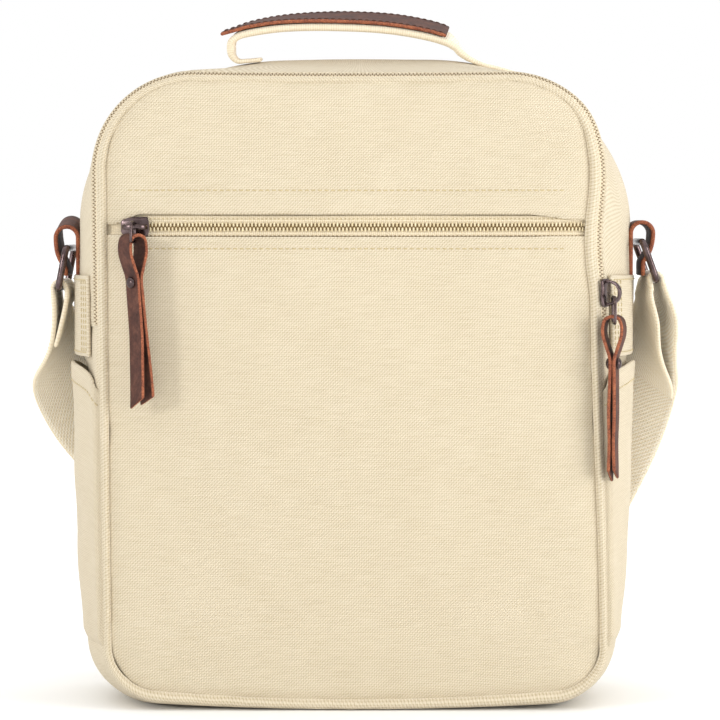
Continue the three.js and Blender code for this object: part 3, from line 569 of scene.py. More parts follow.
def ramp_of(tree, value, stops):
    """A colour ramp through (place, hex) stops."""
    colour = node(tree, "ShaderNodeValToRGB", {"Fac": value})
    elements = colour.node.color_ramp.elements
    while len(elements) < len(stops):
        elements.new(0.5)
    for element, (place, hexed) in zip(elements, stops):
        element.position = place
        element.color = linear(hexed)
    return colour


def weave(tree, uv, warp, weft, slant):
    """Height from 0 to 1 of a weave with these thread spacings in mm. slant is how much of it is the diagonal
    ridge that runs two threads over and one along, up to the right."""
    x = node(tree, "ShaderNodeSeparateXYZ", {"Vector": uv})
    waves = []
    for axis, pitch in ((x, warp), (x.node.outputs["Y"], weft)):
        turn = maths(tree, "MULTIPLY", axis, math.pi / pitch)
        waves.append(maths(tree, "SINE", turn))
    threads = []
    for own, other, way in ((waves[0], waves[1], 0.5), (waves[1], waves[0], -0.5)):
        sign = maths(tree, "SIGN", own)
        over = maths(tree, "MULTIPLY", sign, other)
        riding = maths(tree, "MULTIPLY_ADD", over, way, 0.5)
        roundness = maths(tree, "ABSOLUTE", own)
        threads.append(maths(tree, "MULTIPLY", roundness, riding))
    plain = maths(tree, "MAXIMUM", threads[0], threads[1])
    rate = math.pi / (warp + weft)
    slope = (2 * rate, -2 * rate, 0)
    ridge = node(tree, VECTOR, {0: uv, 1: slope}, out="Value", operation="DOT_PRODUCT")
    ridge = maths(tree, "SINE", ridge)
    ridge = maths(tree, "MULTIPLY_ADD", ridge, 0.5, 0.5)
    return node(tree, "ShaderNodeMix", {0: slant, 2: plain, 3: ridge})


MOTTLE, TINT = 30.0, 0.15  # the size of cotton's uneven tint, in mm, and how much it shows


def woven_cotton(name, colours, warp, weft, depth, stray=0.5, bump=0.6, slub=0.4, slant=0.0, crown=0.8):
    """Spun cotton, woven: matt and a little fuzzy, its tone following the weave's height as painted shade in
    the gaps and painted light on the thread crowns. warp and weft are the threads' spacing, depth how deep
    the weave is and stray how far the threads wander, in mm. slub is how much the thicker yarns show. colours
    go from the painted shade of the gaps to the painted light of the crowns."""
    material, tree = new_material(name)
    uv = node(tree, "ShaderNodeUVMap", uv_map=CLOTH_MAP)
    wander = noise(tree, uv, 9.0, out="Color")
    wandered = node(tree, VECTOR, {0: wander, 1: (stray, stray, 0), 2: uv}, operation="MULTIPLY_ADD")
    height = weave(tree, wandered, warp, weft, slant)
    streak = node(tree, VECTOR, {0: uv, 1: (0.08, 1.0, 1.0)}, operation="MULTIPLY")
    streak = noise(tree, streak, weft / 0.9, 1.0)
    tint = noise(tree, uv, MOTTLE, 3.0)
    # The tone follows the weave's height, painted shade in the gaps and painted light on the crowns, with
    # random slubs and tint
    tone = maths(tree, "MULTIPLY_ADD", streak, slub, height)
    tone = maths(tree, "MULTIPLY_ADD", tint, TINT, tone)
    tone = maths(tree, "SUBTRACT", tone, 0.5 * (TINT + slub))
    colour = ramp_of(tree, tone, list(zip((0.0, 0.4, crown), colours.split())))
    normal = node(tree, "ShaderNodeBump", {"Strength": bump, "Distance": depth * MM, "Height": height})
    surface(
        tree,
        {
            "Base Color": colour,
            "Roughness": 0.92,
            "Specular IOR Level": 0.25,
            "Sheen Weight": 0.12,
            "Sheen Roughness": 0.6,
            "Normal": normal,
        },
    )
    return material


# Duck canvas: about 12 threads a centimetre, close and even
cotton_canvas = woven_cotton(
    "cotton_canvas", "#A2916F #C3B59A #D6CBB5", 0.8, 0.84, 0.3, bump=0.7, slub=0.32, slant=0.35, crown=0.85
)
# Webbing is woven of thick cord-like yarn, more than 1 mm apart
WEB_WEAVE = {"warp": 1.2, "weft": 1.1, "depth": 0.5, "stray": 0.3, "slant": 0.4}
cotton_webbing = woven_cotton("cotton_webbing", "#CEBC99 #EADCC4 #F6ECDD", **WEB_WEAVE)
# The strap's webbing is painted a shade paler than the handle's: painted light that makes up for the shade it
# hangs in beside the bag
strap_webbing_painted_light = woven_cotton("cotton_webbing_painted_lighter", "#D8CAAA #F2E8D3 #FCF8EE", **WEB_WEAVE)
# A webbing's selvedge: the same yarn packed tight, so its weave hardly shows
webbing_edge = woven_cotton("cotton_selvedge", "#CFBFA0 #DCCEB2 #E6DAC2", 1.2, 1.1, 0.2, stray=0.4, bump=0.3)
# Zip tape is close and flat
zip_tape = woven_cotton("cotton_zip_tape", "#BCAA87 #CFBFA0 #DCCFB6", 0.9, 0.9, 0.25, stray=0.2)
# Thread and cord: twisted plies, drawn as a fine weave along each length
TWIST = {"warp": 0.8, "weft": 0.6, "depth": 0.2, "stray": 0.1}
# A dark brown cord laid under a coil zip's loops: painted shade that shows between them
painted_shade_cord = woven_cotton("brown_cord_painted_shade", "#5A4730 #7C6646 #98815C", **TWIST)
# Thread drawn darker than its own cotton: partly its own tone, partly painted shade of the needle holes
thread_with_painted_shade = woven_cotton("thread_with_painted_shade", "#988660 #B6A47D #CCBD98", **TWIST)
# The grip's thread is dyed to its leather
dark_thread = woven_cotton("waxed_brown_thread", "#2A1A15 #442A21 #5A3A2E", **TWIST)


def nylon_coil(name, low, high):
    """Drawn nylon filament: smooth, with a soft shine, its dye a little uneven."""
    material, tree = new_material(name)
    place = node(tree, "ShaderNodeTexCoord", out="Object")
    tint = noise(tree, place, 3.0 * MM)
    colour = ramp_of(tree, tint, ((0.3, low), (0.7, high)))
    rough = node(tree, MAP_RANGE, {"Value": tint, "To Min": 0.35, "To Max": 0.55})
    surface(tree, {"Base Color": colour, "Roughness": rough, "IOR": 1.53})
    return material


def waxed_leather():
    """Oiled full-grain leather: dark, fine pores, paler where it was bent and rubbed."""
    material, tree = new_material("waxed_leather")
    uv = node(tree, "ShaderNodeUVMap", uv_map=CLOTH_MAP)
    tint = noise(tree, uv, 7.0, 5.0, Roughness=0.6)
    grain = node(tree, "ShaderNodeTexVoronoi", {"Vector": uv, "Scale": 1 / 0.8, "Randomness": 1.0})
    pores = noise(tree, uv, 1.6, 3.0)
    tone = maths(tree, "MULTIPLY_ADD", pores, 0.35, tint)
    colour = ramp_of(tree, tone, ((0.45, "#38231D"), (0.65, "#4E3129"), (0.9, "#694538")))
    rough = node(tree, MAP_RANGE, {"Value": tint, "To Min": 0.55, "To Max": 0.75})
    height = maths(tree, "MULTIPLY_ADD", grain, 0.6, pores)
    normal = node(tree, "ShaderNodeBump", {"Strength": 0.45, "Distance": 0.25 * MM, "Height": height})
    surface(tree, {"Base Color": colour, "Roughness": rough, "Specular IOR Level": 0.2, "Normal": normal})
    return material


def cut_leather():
    """The raw edge of a cut hide: reddish tan and fibrous, with no finish on it."""
    material, tree = new_material("cut_leather_edge")
    uv = node(tree, "ShaderNodeUVMap", uv_map=CLOTH_MAP)
    place = node(tree, "ShaderNodeTexCoord", out="Object")
    fibre = noise(tree, place, 0.7 * MM, 4.0)
    tint = noise(tree, uv, 5.0)
    tone = maths(tree, "MULTIPLY_ADD", tint, 0.5, fibre)
    colour = ramp_of(tree, tone, ((0.5, "#5C3022"), (0.75, "#8E5036"), (1.0, "#B06C48")))
    normal = node(tree, "ShaderNodeBump", {"Strength": 0.6, "Distance": 0.3 * MM, "Height": fibre})
    surface(tree, {"Base Color": colour, "Roughness": 0.9, "Normal": normal})
    return material


def gunmetal():
    """Zinc plated in black nickel: a dark brown-grey mirror, dulled by handling."""
    material, tree = new_material("gunmetal_plate")
    place = node(tree, "ShaderNodeTexCoord", out="Object")
    wear = noise(tree, place, 5.0 * MM, 4.0)
    colour = ramp_of(tree, wear, ((0.3, "#4A3D3C"), (0.7, "#6F6060")))
    rough = node(tree, MAP_RANGE, {"Value": wear, "To Min": 0.16, "To Max": 0.38})
    surface(tree, {"Base Color": colour, "Metallic": 1.0, "Roughness": rough})
    return material


pale_coil = nylon_coil("pale_nylon_coil", "#CDBC94", "#E0D2B0")
brown_coil = nylon_coil("brown_nylon_coil", "#6B573A", "#8C7652")
leather_face = waxed_leather()
leather_edge = cut_leather()
dark_metal = gunmetal()


def stitch_line(points, out, finish=thread_with_painted_shade, pitch=3.0, share=0.76, radius=0.36):
    """Stitches along a line, from its points and their outward directions."""
    gone = along(points)
    at = np.arange(pitch / 2, gone[-1], pitch)
    start = at_distance(points, gone, at - pitch * share / 2)
    end = at_distance(points, gone, at + pitch * share / 2)
    lift = unit(at_distance(out, gone, at - pitch * share / 2))
    return bars(start - 0.12 * lift, end - 0.12 * lift, lift, radius, finish, bow=0.26)


# Front and back panels

PANEL_STEP = 2.2
FRONT_STITCH_TO = 103.0
# A panel's columns as shares of its half width, closer together towards its two edges
edge_share = np.linspace(-1, 1, 105)
panel_columns = 0.55 * edge_share + 0.45 * edge_share * (1.5 - 0.5 * edge_share**2)


def corner_rows(edge, radius, inwards, count=12):
    return edge + inwards * radius * (1 - np.cos(np.linspace(0, math.pi / 2, count)))


def rows_between(start, end):
    return np.linspace(start, end, int(abs(end - start) / PANEL_STEP) + 2)


def panel_rows(row, start=None, end=None):
    """Heights from edge to edge of a panel, or from start or to end, close together round its corners."""
    first = [start] if start else corner_rows(row["base"] - SEAM_TUCK, row["base_r"], 1)
    last = [end] if end else corner_rows(row["top"] + SEAM_TUCK, row["top_high"], -1, 24)[::-1]
    return np.r_[first, rows_between(first[-1], last[0])[1:-1], last]


def slot_drop(x, upper):
    """How far an edge of the pocket zip's slot closes towards its two ends."""
    left, right = (4.4, 2.6) if upper else (1.0, 0.4)
    return left * ramp(x, -97.0, -109.0) + right * ramp(x, 84.0, 110.0)


def front_panel(name, rows, edge, sign):
    z = np.asarray(rows)[:, None]
    x = panel_columns[None, :] * (edge_at(FRONT_ROW, z) + SEAM_TUCK)
    drop = slot_drop(x, sign < 0) * np.exp(-np.abs(z - edge) / 6.0)
    z = np.broadcast_to(z, x.shape) + sign * drop
    grid = front_point(x, z)
    uv = np.stack([x, z], -1)
    parts = [shell(grid, CANVAS, cotton_canvas, uv=uv)]
    row = FRONT_STITCH_ROWS[0] if sign < 0 else FRONT_STITCH_ROWS[1]
    line = np.linspace(-FRONT_STITCH_TO, FRONT_STITCH_TO, 400)
    seam = front_point(line, np.full_like(line, row))
    above = front_point(line, np.full_like(line, row + 1.0))
    parts.append(stitch_line(seam, unit(np.cross(np.gradient(seam, axis=0), above - seam))))
    dress(name, parts)


front_panel("front_panel_lower", panel_rows(FRONT_ROW, end=SLOT_LOW), SLOT_LOW, 1)
front_panel("front_panel_upper", panel_rows(FRONT_ROW, start=SLOT_HIGH), SLOT_HIGH, -1)
back_rows = panel_rows(BACK_ROW)[:, None]
back_x = panel_columns[None, :] * (edge_at(BACK_ROW, back_rows) + SEAM_TUCK)
back_z = np.broadcast_to(back_rows, back_x.shape)
back_part = shell(back_point(back_x, back_z), CANVAS, cotton_canvas, -1, uv=np.stack([back_x, back_z], -1))
dress("back_panel", [back_part])

# The rolled edge, and the gusset above and below the side joints


ROLL_TO = 1.995  # the rolled edge ends just in front of the zip
LAP_UNDER = 0.12  # how far the lower gusset's front edge lies under it


def rolled_edge():
    s = even_stations(0.0, 12.0, 2.0, 1.0)[:-1][:, None]
    v = np.linspace(0.0, ROLL_TO, 17)[None, :]
    grid = body_point(v, s)
    gone = along(grid[:, 8])[:, None]
    gather = unevenness(gone, v * 9.0, 10.0, 31) * (0.30 * np.exp(-v / 0.35) + 0.26 * np.exp((v - 2) / 0.35))
    soft = 0.25 * unevenness(gone, 0 * v, 38.0, 32) * np.sin(math.pi * np.clip(v / 2, 0, 1))
    height = (gather + soft) * ramp(v, 0.0, 0.12) * ramp(v, 2.0, 1.88)
    grid = grid + height[..., None] * normals(grid, True)
    dress("front_edge_roll", [shell(grid, ROLL, cotton_canvas, wrap=True)])


def gusset(name, start, end, first_v, pressed, seed):
    s = even_stations(start, end, 2.4, 5.0)[:, None]
    front = np.linspace(first_v, 4.0, 16)
    middle = np.linspace(4.0, 7.0, 42)
    back = np.linspace(7.0, 7.95, 12)
    v = np.r_[front, middle[1:], back[1:]][None, :]
    grid = body_point(v, s, pressed)
    across = along(grid[len(s) // 2])[None, :]
    gone = along(grid[:, 20])[:, None]
    free = ramp(across, 0.0, 3.0) * ramp(across, across.max(), across.max() - 3.0)
    front_seam = 0.30 * np.exp(-across / 7.0)
    back_seam = 0.35 * np.exp((across - across.max()) / 7.0)
    gather = unevenness(gone, across * 0.25, 12.0, seed) * (front_seam + back_seam)
    soft = 0.7 * unevenness(gone, across * 0.8, 58.0, seed + 1)
    on_floor = ramp(grid[..., 2], 0.5, 12.0)
    under = LAP_UNDER * ramp(across, 2.5, 0.8) if first_v < 2 else 0.0
    height = (gather + soft) * free * on_floor - under
    grid = grid + height[..., None] * normals(grid)
    dress(name, [shell(grid, CANVAS, cotton_canvas)])


rolled_edge()
gusset("upper_gusset", 3.0, 9.0, 3.03, False, 41)
gusset("lower_gusset", 9.0, 15.0, 1.85, True, 45)

# Zips

COIL_PITCH = 1.7
# A dark cord under the coils, painted shade between the loops: shares of their reach across, and depth below
# them
PAINTED_SHADE_CORD_PROFILE = ((-0.95, 0.75), (-0.5, 0.5), (0.0, 0.45), (0.5, 0.5), (0.95, 0.75))


def zip_coil(centre, across, out, reach, cross, rise, radius, finish):
    """Two rows of filament loops that mesh down the middle of a tape, over a dark cord of painted shade.
    reach is how far out they start, and cross how far past the middle they end."""
    gone = along(centre)
    cord = np.stack([centre + w * reach * across + (rise - h) * out for w, h in PAINTED_SHADE_CORD_PROFILE], 1)
    # The dark cord under the loops is painted shade
    parts = [shell(cord, 0.3, painted_shade_cord, -1)]
    for side, shift in ((-1, 0.25), (1, 0.75)):
        at = np.arange(COIL_PITCH * shift, gone[-1], COIL_PITCH)
        point, way, up = (at_distance(line, gone, at) for line in (centre, across, out))
        start = point + side * reach * way + (rise - 0.25) * up
        end = point - side * cross * way + rise * up
        parts.append(bars(start, end, up, radius, finish, bow=0.12))
    return parts


def tape(centre, across, out, profile, thick):
    """A strip of tape along a zip: (across, height) pairs of its face."""
    grid = np.stack([centre + w * across + h * out for w, h in profile], 1)
    return shell(grid, thick, zip_tape, -1)


def main_zip_line(s):
    """The middle line of the main zip, between the girths before and behind it."""
    front = body_point(np.full_like(s, 2.0), s)
    back = body_point(np.full_like(s, 3.0), s)
    centre = (front + back) / 2
    across = unit(back - front)
    out = unit(np.cross(across, np.gradient(centre, axis=0)))
    return centre, across, out


main_line = main_zip_line(even_stations(3.008, 8.992, 1.6, 2.5))
dress(
    "main_zip",
    [tape(*main_line, [(-2.5, -0.9), (-1.9, -0.55), (0.0, -0.75), (1.9, -0.55), (2.5, -0.9)], 0.6)]
    + zip_coil(*main_line, 1.95, -0.1, 0.0, 0.36, brown_coil),
)


def pocket_zip_line(x):
    """The middle line of the pocket zip on the face of its tape, behind the front panel."""
    z = np.full_like(x, SLOT_MIDDLE)
    face = front_point(x, z, False)
    up = unit(front_point(x, z + 1, False) - front_point(x, z - 1, False))
    side = front_point(x + 0.01, z, False) - front_point(x - 0.01, z, False)
    out = unit(np.cross(side, up))
    return face - (CANVAS + GAP) * out, up, out


POCKET_PULL_X = -99.5  # where the pocket's slider stands
pocket_line = pocket_zip_line(np.linspace(-115.5, 115.5, 188))
pocket_closed = [line[pocket_line[0][:, 0] > POCKET_PULL_X] for line in pocket_line]
POCKET_TAPE = [
    (-7.6, -1.2), (-5.4, -1.2), (-4.7, -1.0), (-4.5, 0.3), (-4.0, 0.5), (-2.9, 0.6), (-2.4, 0.2),
    (0.0, 0.0),
    (2.4, 0.2), (2.9, 0.6), (4.6, 0.55), (5.4, 0.4), (5.6, -1.0), (6.4, -1.2), (8.6, -1.2),
]
# The lower row is sewn in the dark cord's colour: a painted shade line along the slot's lower edge
TAPE_STITCHES = ((-4.1, 0.55, painted_shade_cord), (3.7, 0.6, thread_with_painted_shade))
pocket_stitches = [
    stitch_line(
        pocket_line[0] + w * pocket_line[1] + h * pocket_line[2],
        pocket_line[2],
        finish=thread,
        pitch=1.9,
        share=0.6,
        radius=0.3,
    )
    for w, h, thread in TAPE_STITCHES
]
dress(
    "pocket_zip",
    [tape(*pocket_line, POCKET_TAPE, 0.7)]
    + zip_coil(*pocket_closed, 2.1, -0.15, 0.75, 0.46, pale_coil)
    + pocket_stitches,
)

# Side pockets and stitched bands

POCKET_LOW, MOUTH_FRONT, MOUTH_RISE, POCKET_FROM, POCKET_TO, POCKET_BULGE = 30.0, 147.0, 13.0, 1.95, 7.2, 1.0
BAND_LOW, BAND_HIGH, BAND_FROM, BAND_TO, BAND_THICK = 164.0, 200.5, 3.2, 6.9, 1.8
HEM = 9.0  # depth of the turned hem at a pocket's mouth


def side_pocket(name, side, seed):
    v = np.linspace(POCKET_FROM, POCKET_TO, 56)[None, :]
    t = np.linspace(0, 1, 64)[:, None]
    share = (v - POCKET_FROM) / (POCKET_TO - POCKET_FROM)
    mouth = MOUTH_FRONT + MOUTH_RISE * np.sin(math.pi * share)
    z = POCKET_LOW + (mouth - POCKET_LOW) * t
    base = side_point(side, v + 0 * t, z)
    out = side * normals(base)
    bulge = POCKET_BULGE * bell(2 * share - 1) * ramp(t, 0, 0.35)
    below = mouth - z
    hem = 0.35 * ramp(below, HEM + 0.8, HEM - 0.4)
    crease = 0.25 * hump((below - HEM) / 0.9)
    fold = 0.5 * unevenness(v * 24, z, 40.0, seed) * ramp(t, 0.0, 0.15) * bell(2 * share - 1)
    sewn = ramp(share, 0.0, 0.14) * ramp(share, 1.0, 0.95) * ramp(t, 0.0, 0.03)
    under_roll = 0.8 * ramp(share, 0.07, 0.0)
    face = 0.5 - under_roll + (GAP + CANVAS - 0.5 + bulge + hem - crease + np.maximum(fold, -0.2)) * sewn
    grid = base + face[..., None] * out
    parts = [shell(grid, np.clip(face, 0.3, CANVAS), cotton_canvas, side)]
    row = np.argmin(np.abs(below[:, 28] - HEM + 1.2))
    parts.append(stitch_line(grid[row, 2:-2], out[row, 2:-2]))
    dress(name, parts)


def side_band(name, side):
    v = np.linspace(BAND_FROM, BAND_TO, 48)[None, :]
    z = np.linspace(BAND_LOW, BAND_HIGH, 26)[:, None]
    base = side_point(side, v + 0 * z, z + 0 * v)
    out = side * normals(base)
    grid = base + (GAP + BAND_THICK) * out
    parts = [shell(grid, BAND_THICK, cotton_canvas, side)]
    for column in (1, 3, 5, -2, -4):
        parts.append(stitch_line(grid[1:-1, column], out[1:-1, column], pitch=2.6))
    for row in (1, -2):
        parts.append(stitch_line(grid[row, 1:-1], out[row, 1:-1], pitch=2.6))
    dress(name, parts)


# Leather tabs and rings

TAB_WIDE, TAB_Y, TAB_LOOP_Z, TAB_EYE = 26.0, 5.0, 220.5, 2.4
RING_WIRE, RING_HALF, RING_DROP, RING_CORNER = 1.6, 21.8, 19.0, 3.5
RING_OUT, RING_UP = 4.0, 8.0  # where a ring's upper bar lies in the loop's eye
RING_LEAN = {"left": 11.0, "right": 20.0}
EYE_LENGTH = {"left": 15.0, "right": 12.0}
TAB_TILT = {-1: 0.17, 1: 0.0}  # how far the far end of a loop stands higher, for each mm
# The loop's outer leg on its way back in: out from the side, and down as a share of the eye's length
TAB_TURN_IN = ((7.7, 0.33), (6.5, 0.66), (4.9, 0.89), (3.55, 1.06))


def leather_tab(name, side, eye_length):
    """A strip folded over into a loop, both ends sewn down below it."""
    reach = TAB_EYE + LEATHER / 2
    middle = GAP + LEATHER + TAB_EYE + 0.1
    turn = np.radians(np.linspace(180, 0, 14))
    way = np.vstack(
        [
            np.c_[np.full(5, middle - reach), np.linspace(BAND_HIGH + GAP + 0.2, TAB_LOOP_Z - 2, 5)],
            np.c_[middle + reach * np.cos(turn), TAB_LOOP_Z + reach * np.sin(turn)],
            [(out, TAB_LOOP_Z - down * eye_length) for out, down in TAB_TURN_IN],
            [(3.35, 202.6), (3.35, 201.0)],
        ]
    )
    way = centripetal(np.c_[way, 0 * way[:, :1]], np.linspace(0, len(way) - 1, 70))
    face = float(side_point(side, 5.0, TAB_LOOP_Z)[0])
    y = TAB_Y + np.linspace(-TAB_WIDE / 2, TAB_WIDE / 2, 15)
    line = np.stack([face + side * way[:, 0], way[:, 2], way[:, 1]], -1)
    side_out = unit(np.cross(np.gradient(line, axis=0), (0, side, 0)))
    grid = line[:, None] + np.array([0, 1.0, 0]) * y[None, :, None] + (LEATHER / 2) * side_out[:, None]
    grid[..., 2] += TAB_TILT[side] * (y - TAB_Y)[None, :] * ramp(line[:, 2], 203.0, TAB_LOOP_Z - 4)[:, None]
    uv = together(y[None, :], along(line)[:, None])
    dress(name, [shell(grid, LEATHER, leather_face, side, uv=uv, rim=leather_edge)])


def rounded_loop(centre, first, second, half_first, half_second, corner, steps=7):
    """A closed line round a rectangle with round corners, in the plane of two directions."""
    points = []
    for quarter, (a, b) in enumerate(((1, -1), (1, 1), (-1, 1), (-1, -1))):
        for turn in np.radians(np.linspace(-90, 0, steps) + 90 * quarter):
            x = a * (half_first - corner) + corner * math.cos(turn)
            y = b * (half_second - corner) + corner * math.sin(turn)
            points.append(np.asarray(centre) + x * np.asarray(first) + y * np.asarray(second))
    return np.array(points)


def ring_bars(name, side):
    face = float(side_point(side, 5.0, TAB_LOOP_Z)[0])
    upper = np.array([face + side * (GAP + RING_OUT), TAB_Y, TAB_LOOP_Z - EYE_LENGTH[name] + RING_UP])
    lean = math.radians(RING_LEAN[name])
    down = np.array([side * math.sin(lean), 0, -math.cos(lean)])
    return upper, down, upper + RING_DROP * down


bars_of = {}
for name, side, seed in (("left", -1, 51), ("right", 1, 53)):
    side_pocket(f"{name}_side_pocket", side, seed)
    side_band(f"{name}_side_band", side)
    leather_tab(f"{name}_tab", side, EYE_LENGTH[name])
    upper, down, _ = bars_of[name] = ring_bars(name, side)
    loop = rounded_loop(upper + down * RING_DROP / 2, (0, 1, 0), down, RING_HALF, RING_DROP / 2, RING_CORNER)
    wire = tube(loop, RING_WIRE, dark_metal, np.cross((0, 1, 0), down), 16)
    dress(f"{name}_ring", [wire])

# The shoulder strap: x, y, z and the turn of its width from +Y

STRAP_WIDE, STRAP_LAP_RIGHT, STRAP_LAP_LEFT = 38.0, 58.0, 20.0
STRAP_BULGE_RIGHT, STRAP_BULGE_LEFT = 4.0, 1.0
# Steps between two points of the strap, and over how many its kinks are eased
STRAP_STEPS, EASE_LINE, EASE_TURN = 9, 12, 16
STRAP_WAY = np.array(
    [
        (147.2, 6, 192, -2), (149.8, 9, 184, -7), (148.2, 15, 174, -16), (145.0, 26, 162, -33),
        (141.0, 37.5, 149, -51), (136.5, 45, 131, -60), (128.0, 52, 110, -59), (117.5, 60, 86, -51),
        (107.0, 70, 60, -36), (97.5, 80, 35, -16), (86.0, 86, 12, -5), (66.0, 88, 1.5, 0),
        (24.0, 88, 1.3, 0), (-24.0, 88, 1.3, 0), (-66.0, 88, 1.5, 0), (-86.0, 86, 12, 5),
        (-97.0, 79, 36, 16), (-104.5, 71, 60, 34), (-109.5, 63.5, 84, 41), (-114.5, 57.5, 103, 45),
        (-123.0, 52.5, 119, 51), (-132.0, 46, 131, 58), (-138.6, 38.5, 146, 51), (-142.0, 27, 157, 34),
        (-141.6, 15.5, 167, 15), (-140.4, 7, 176.5, 2), (-140.8, 5, 186, 0),
    ]
)


def eased(values, reach):
    """A run of values with its kinks drawn out over reach steps each way. The two ends stay."""
    window = np.hanning(2 * reach + 3)[1:-1]
    before = 2 * values[0] - values[reach:0:-1]
    after = 2 * values[-1] - values[-2 : -reach - 2 : -1]
    padded = np.concatenate([before, values, after])
    columns = padded.reshape(len(padded), -1).T
    smooth = [np.convolve(column, window / window.sum(), "valid") for column in columns]
    return np.stack(smooth, -1).reshape(values.shape)


def strap_frames():
    """Middle line, width and face directions of the strap, from its right lap over both rings to its left."""
    turn_r = RING_WIRE + 1.5 * GAP + WEBBING / 2
    start = np.r_[bars_of["right"][2] + (turn_r, 0, 0), 0]
    end = np.r_[bars_of["left"][2] - (turn_r, 0, 0), 0]
    way = np.vstack([start, STRAP_WAY, end])
    at = np.linspace(0, len(way) - 1, (len(way) - 1) * STRAP_STEPS + 1)
    centre = eased(centripetal(way[:, :3], at), EASE_LINE)
    tangent = unit(np.gradient(centre, axis=0))
    face = eased(np.radians(np.interp(at, np.arange(len(way)), way[:, 3])), EASE_TURN)
    across = np.stack([np.sin(face), np.cos(face), 0 * face], -1)
    across = unit(across - np.sum(across * tangent, 1, keepdims=True) * tangent)
    centre[:, 2] = np.maximum(centre[:, 2], WEBBING / 2 + GAP)
    run = (centre, across, np.cross(tangent, across))

    def over(bar):
        turn = np.radians(np.linspace(180, 0, 17)[1:-1])
        out = np.stack([np.cos(turn), 0 * turn, np.sin(turn)], -1)
        return bar[2] + turn_r * out, np.tile([0, 1.0, 0], (len(out), 1)), out

    def lap(frames, length, bulge):
        points, wide, out = frames
        gone = along(points)
        keep = gone < length
        apart = 2 * turn_r + (WEBBING + GAP - 2 * turn_r) * ramp(gone[keep], 0.0, length * 0.85)
        apart += bulge * np.sin(math.pi * (gone[keep] / length) ** 0.7)
        return points[keep] - apart[:, None] * out[keep], wide[keep], -out[keep]

    right = lap(run, STRAP_LAP_RIGHT, STRAP_BULGE_RIGHT)
    left = lap([a[::-1] for a in run], STRAP_LAP_LEFT, STRAP_BULGE_LEFT)
    chain = [[a[::-1] for a in right], over(bars_of["right"]), run, over(bars_of["left"]), left]
    return [np.vstack([piece[k] for piece in chain]) for k in range(3)]


def ribbon(frames, wide, thick, finish, columns, rise=0.0, rim=None):
    """A flat strip along frames, rise above their middle line: its face and its part."""
    centre, across, out = frames
    w = np.linspace(-wide / 2, wide / 2, columns)
    half = np.broadcast_to(np.asarray(thick) / 2 + rise, len(centre))
    grid = centre[:, None] + across[:, None] * w[None, :, None] + (half[:, None] * out)[:, None]
    uv = together(w[None, :], along(centre)[:, None])
    return grid, shell(grid, np.reshape(thick, (-1, 1)), finish, -1, uv=uv, rim=rim)


# The strap wears the paler webbing, painted light against its shade
_, strap_part = ribbon(strap_frames(), STRAP_WIDE, WEBBING, strap_webbing_painted_light, 19, rim=webbing_edge)
strap = dress("shoulder_strap", [strap_part])

# The handle: x, z and the roll of its far edge

HANDLE_Y, HANDLE_WIDE, HANDLE_THICK, FOOT_THICK = 5.0, 26.0, 3.4, 1.8
GRIP_WIDE, GRIP_THICK, GRIP_FROM, GRIP_TO = 28.0, 1.6, 6, 11
HANDLE_WAY = np.array(
    [
        (-44, 302.8, 4), (-50.5, 302.2, 4), (-54.8, 302.2, 4), (-57.3, 304.6, 4), (-57.9, 308.2, 4),
        (-57.3, 311.6, 5), (-54.2, 314.4, 6), (-48.5, 316.2, 7), (-33, 318.8, 9), (-6, 319.8, 12),
        (22, 318.0, 13), (43, 313.2, 13), (47.8, 310.0, 11), (50.6, 306.5, 7), (53.8, 303.8, 4),
        (61, 300.6, 4), (70, 298.3, 4), (80, 295.1, 4), (89, 290.4, 4),
    ]
)
GRIP_END = (-61.4, 312.2, 5)  # the grip's left end, past the webbing that turns down under it


def handle_frames(rows, end, count):
    way = np.c_[rows[:, 0], np.full(len(rows), HANDLE_Y), rows[:, 1]]
    at = np.linspace(0, end, count)
    inside = np.clip(at, 1e-3, len(way) - 1 - 1e-3)
    tangent = unit(centripetal(way, inside + 1e-3) - centripetal(way, inside - 1e-3))
    roll = np.radians(np.interp(at, np.arange(len(way)), rows[:, 2]))
    across = np.stack([0 * roll, np.cos(roll), np.sin(roll)], -1)
    across = unit(across - np.sum(across * tangent, 1, keepdims=True) * tangent)
    return centripetal(way, at), across, np.cross(tangent, across)


WEB_ROWS = 190
web_frames = handle_frames(HANDLE_WAY, len(HANDLE_WAY) - 1, WEB_ROWS)
web_row = np.linspace(0, len(HANDLE_WAY) - 1, WEB_ROWS)
doubled = ramp(web_row, 1.5, 4.0) * ramp(web_row, 15.5, 13.0)  # one layer is sewn down at each foot
web_thick = FOOT_THICK + (HANDLE_THICK - FOOT_THICK) * doubled
_, web_part = ribbon(web_frames, HANDLE_WIDE, web_thick, cotton_webbing, 15, rim=webbing_edge)
dress("handle_webbing", [web_part])
grip_frames = handle_frames(np.vstack([GRIP_END, HANDLE_WAY[GRIP_FROM:]]), GRIP_TO - GRIP_FROM + 1, 90)
grip_rise = (HANDLE_THICK + GRIP_THICK) / 2 + 2 * GAP
grip_grid, grip_part = ribbon(grip_frames, GRIP_WIDE, GRIP_THICK, leather_face, 17, grip_rise, leather_edge)
grip_parts = [grip_part]
for column in (1, -2):
    seam = grip_grid[1:-1, column]
    grip_parts.append(stitch_line(seam, grip_frames[2][1:-1], dark_thread, pitch=3.2, radius=0.42))
dress("handle_grip", grip_parts)

# Sliders, pull rings, leather pulls and rivets

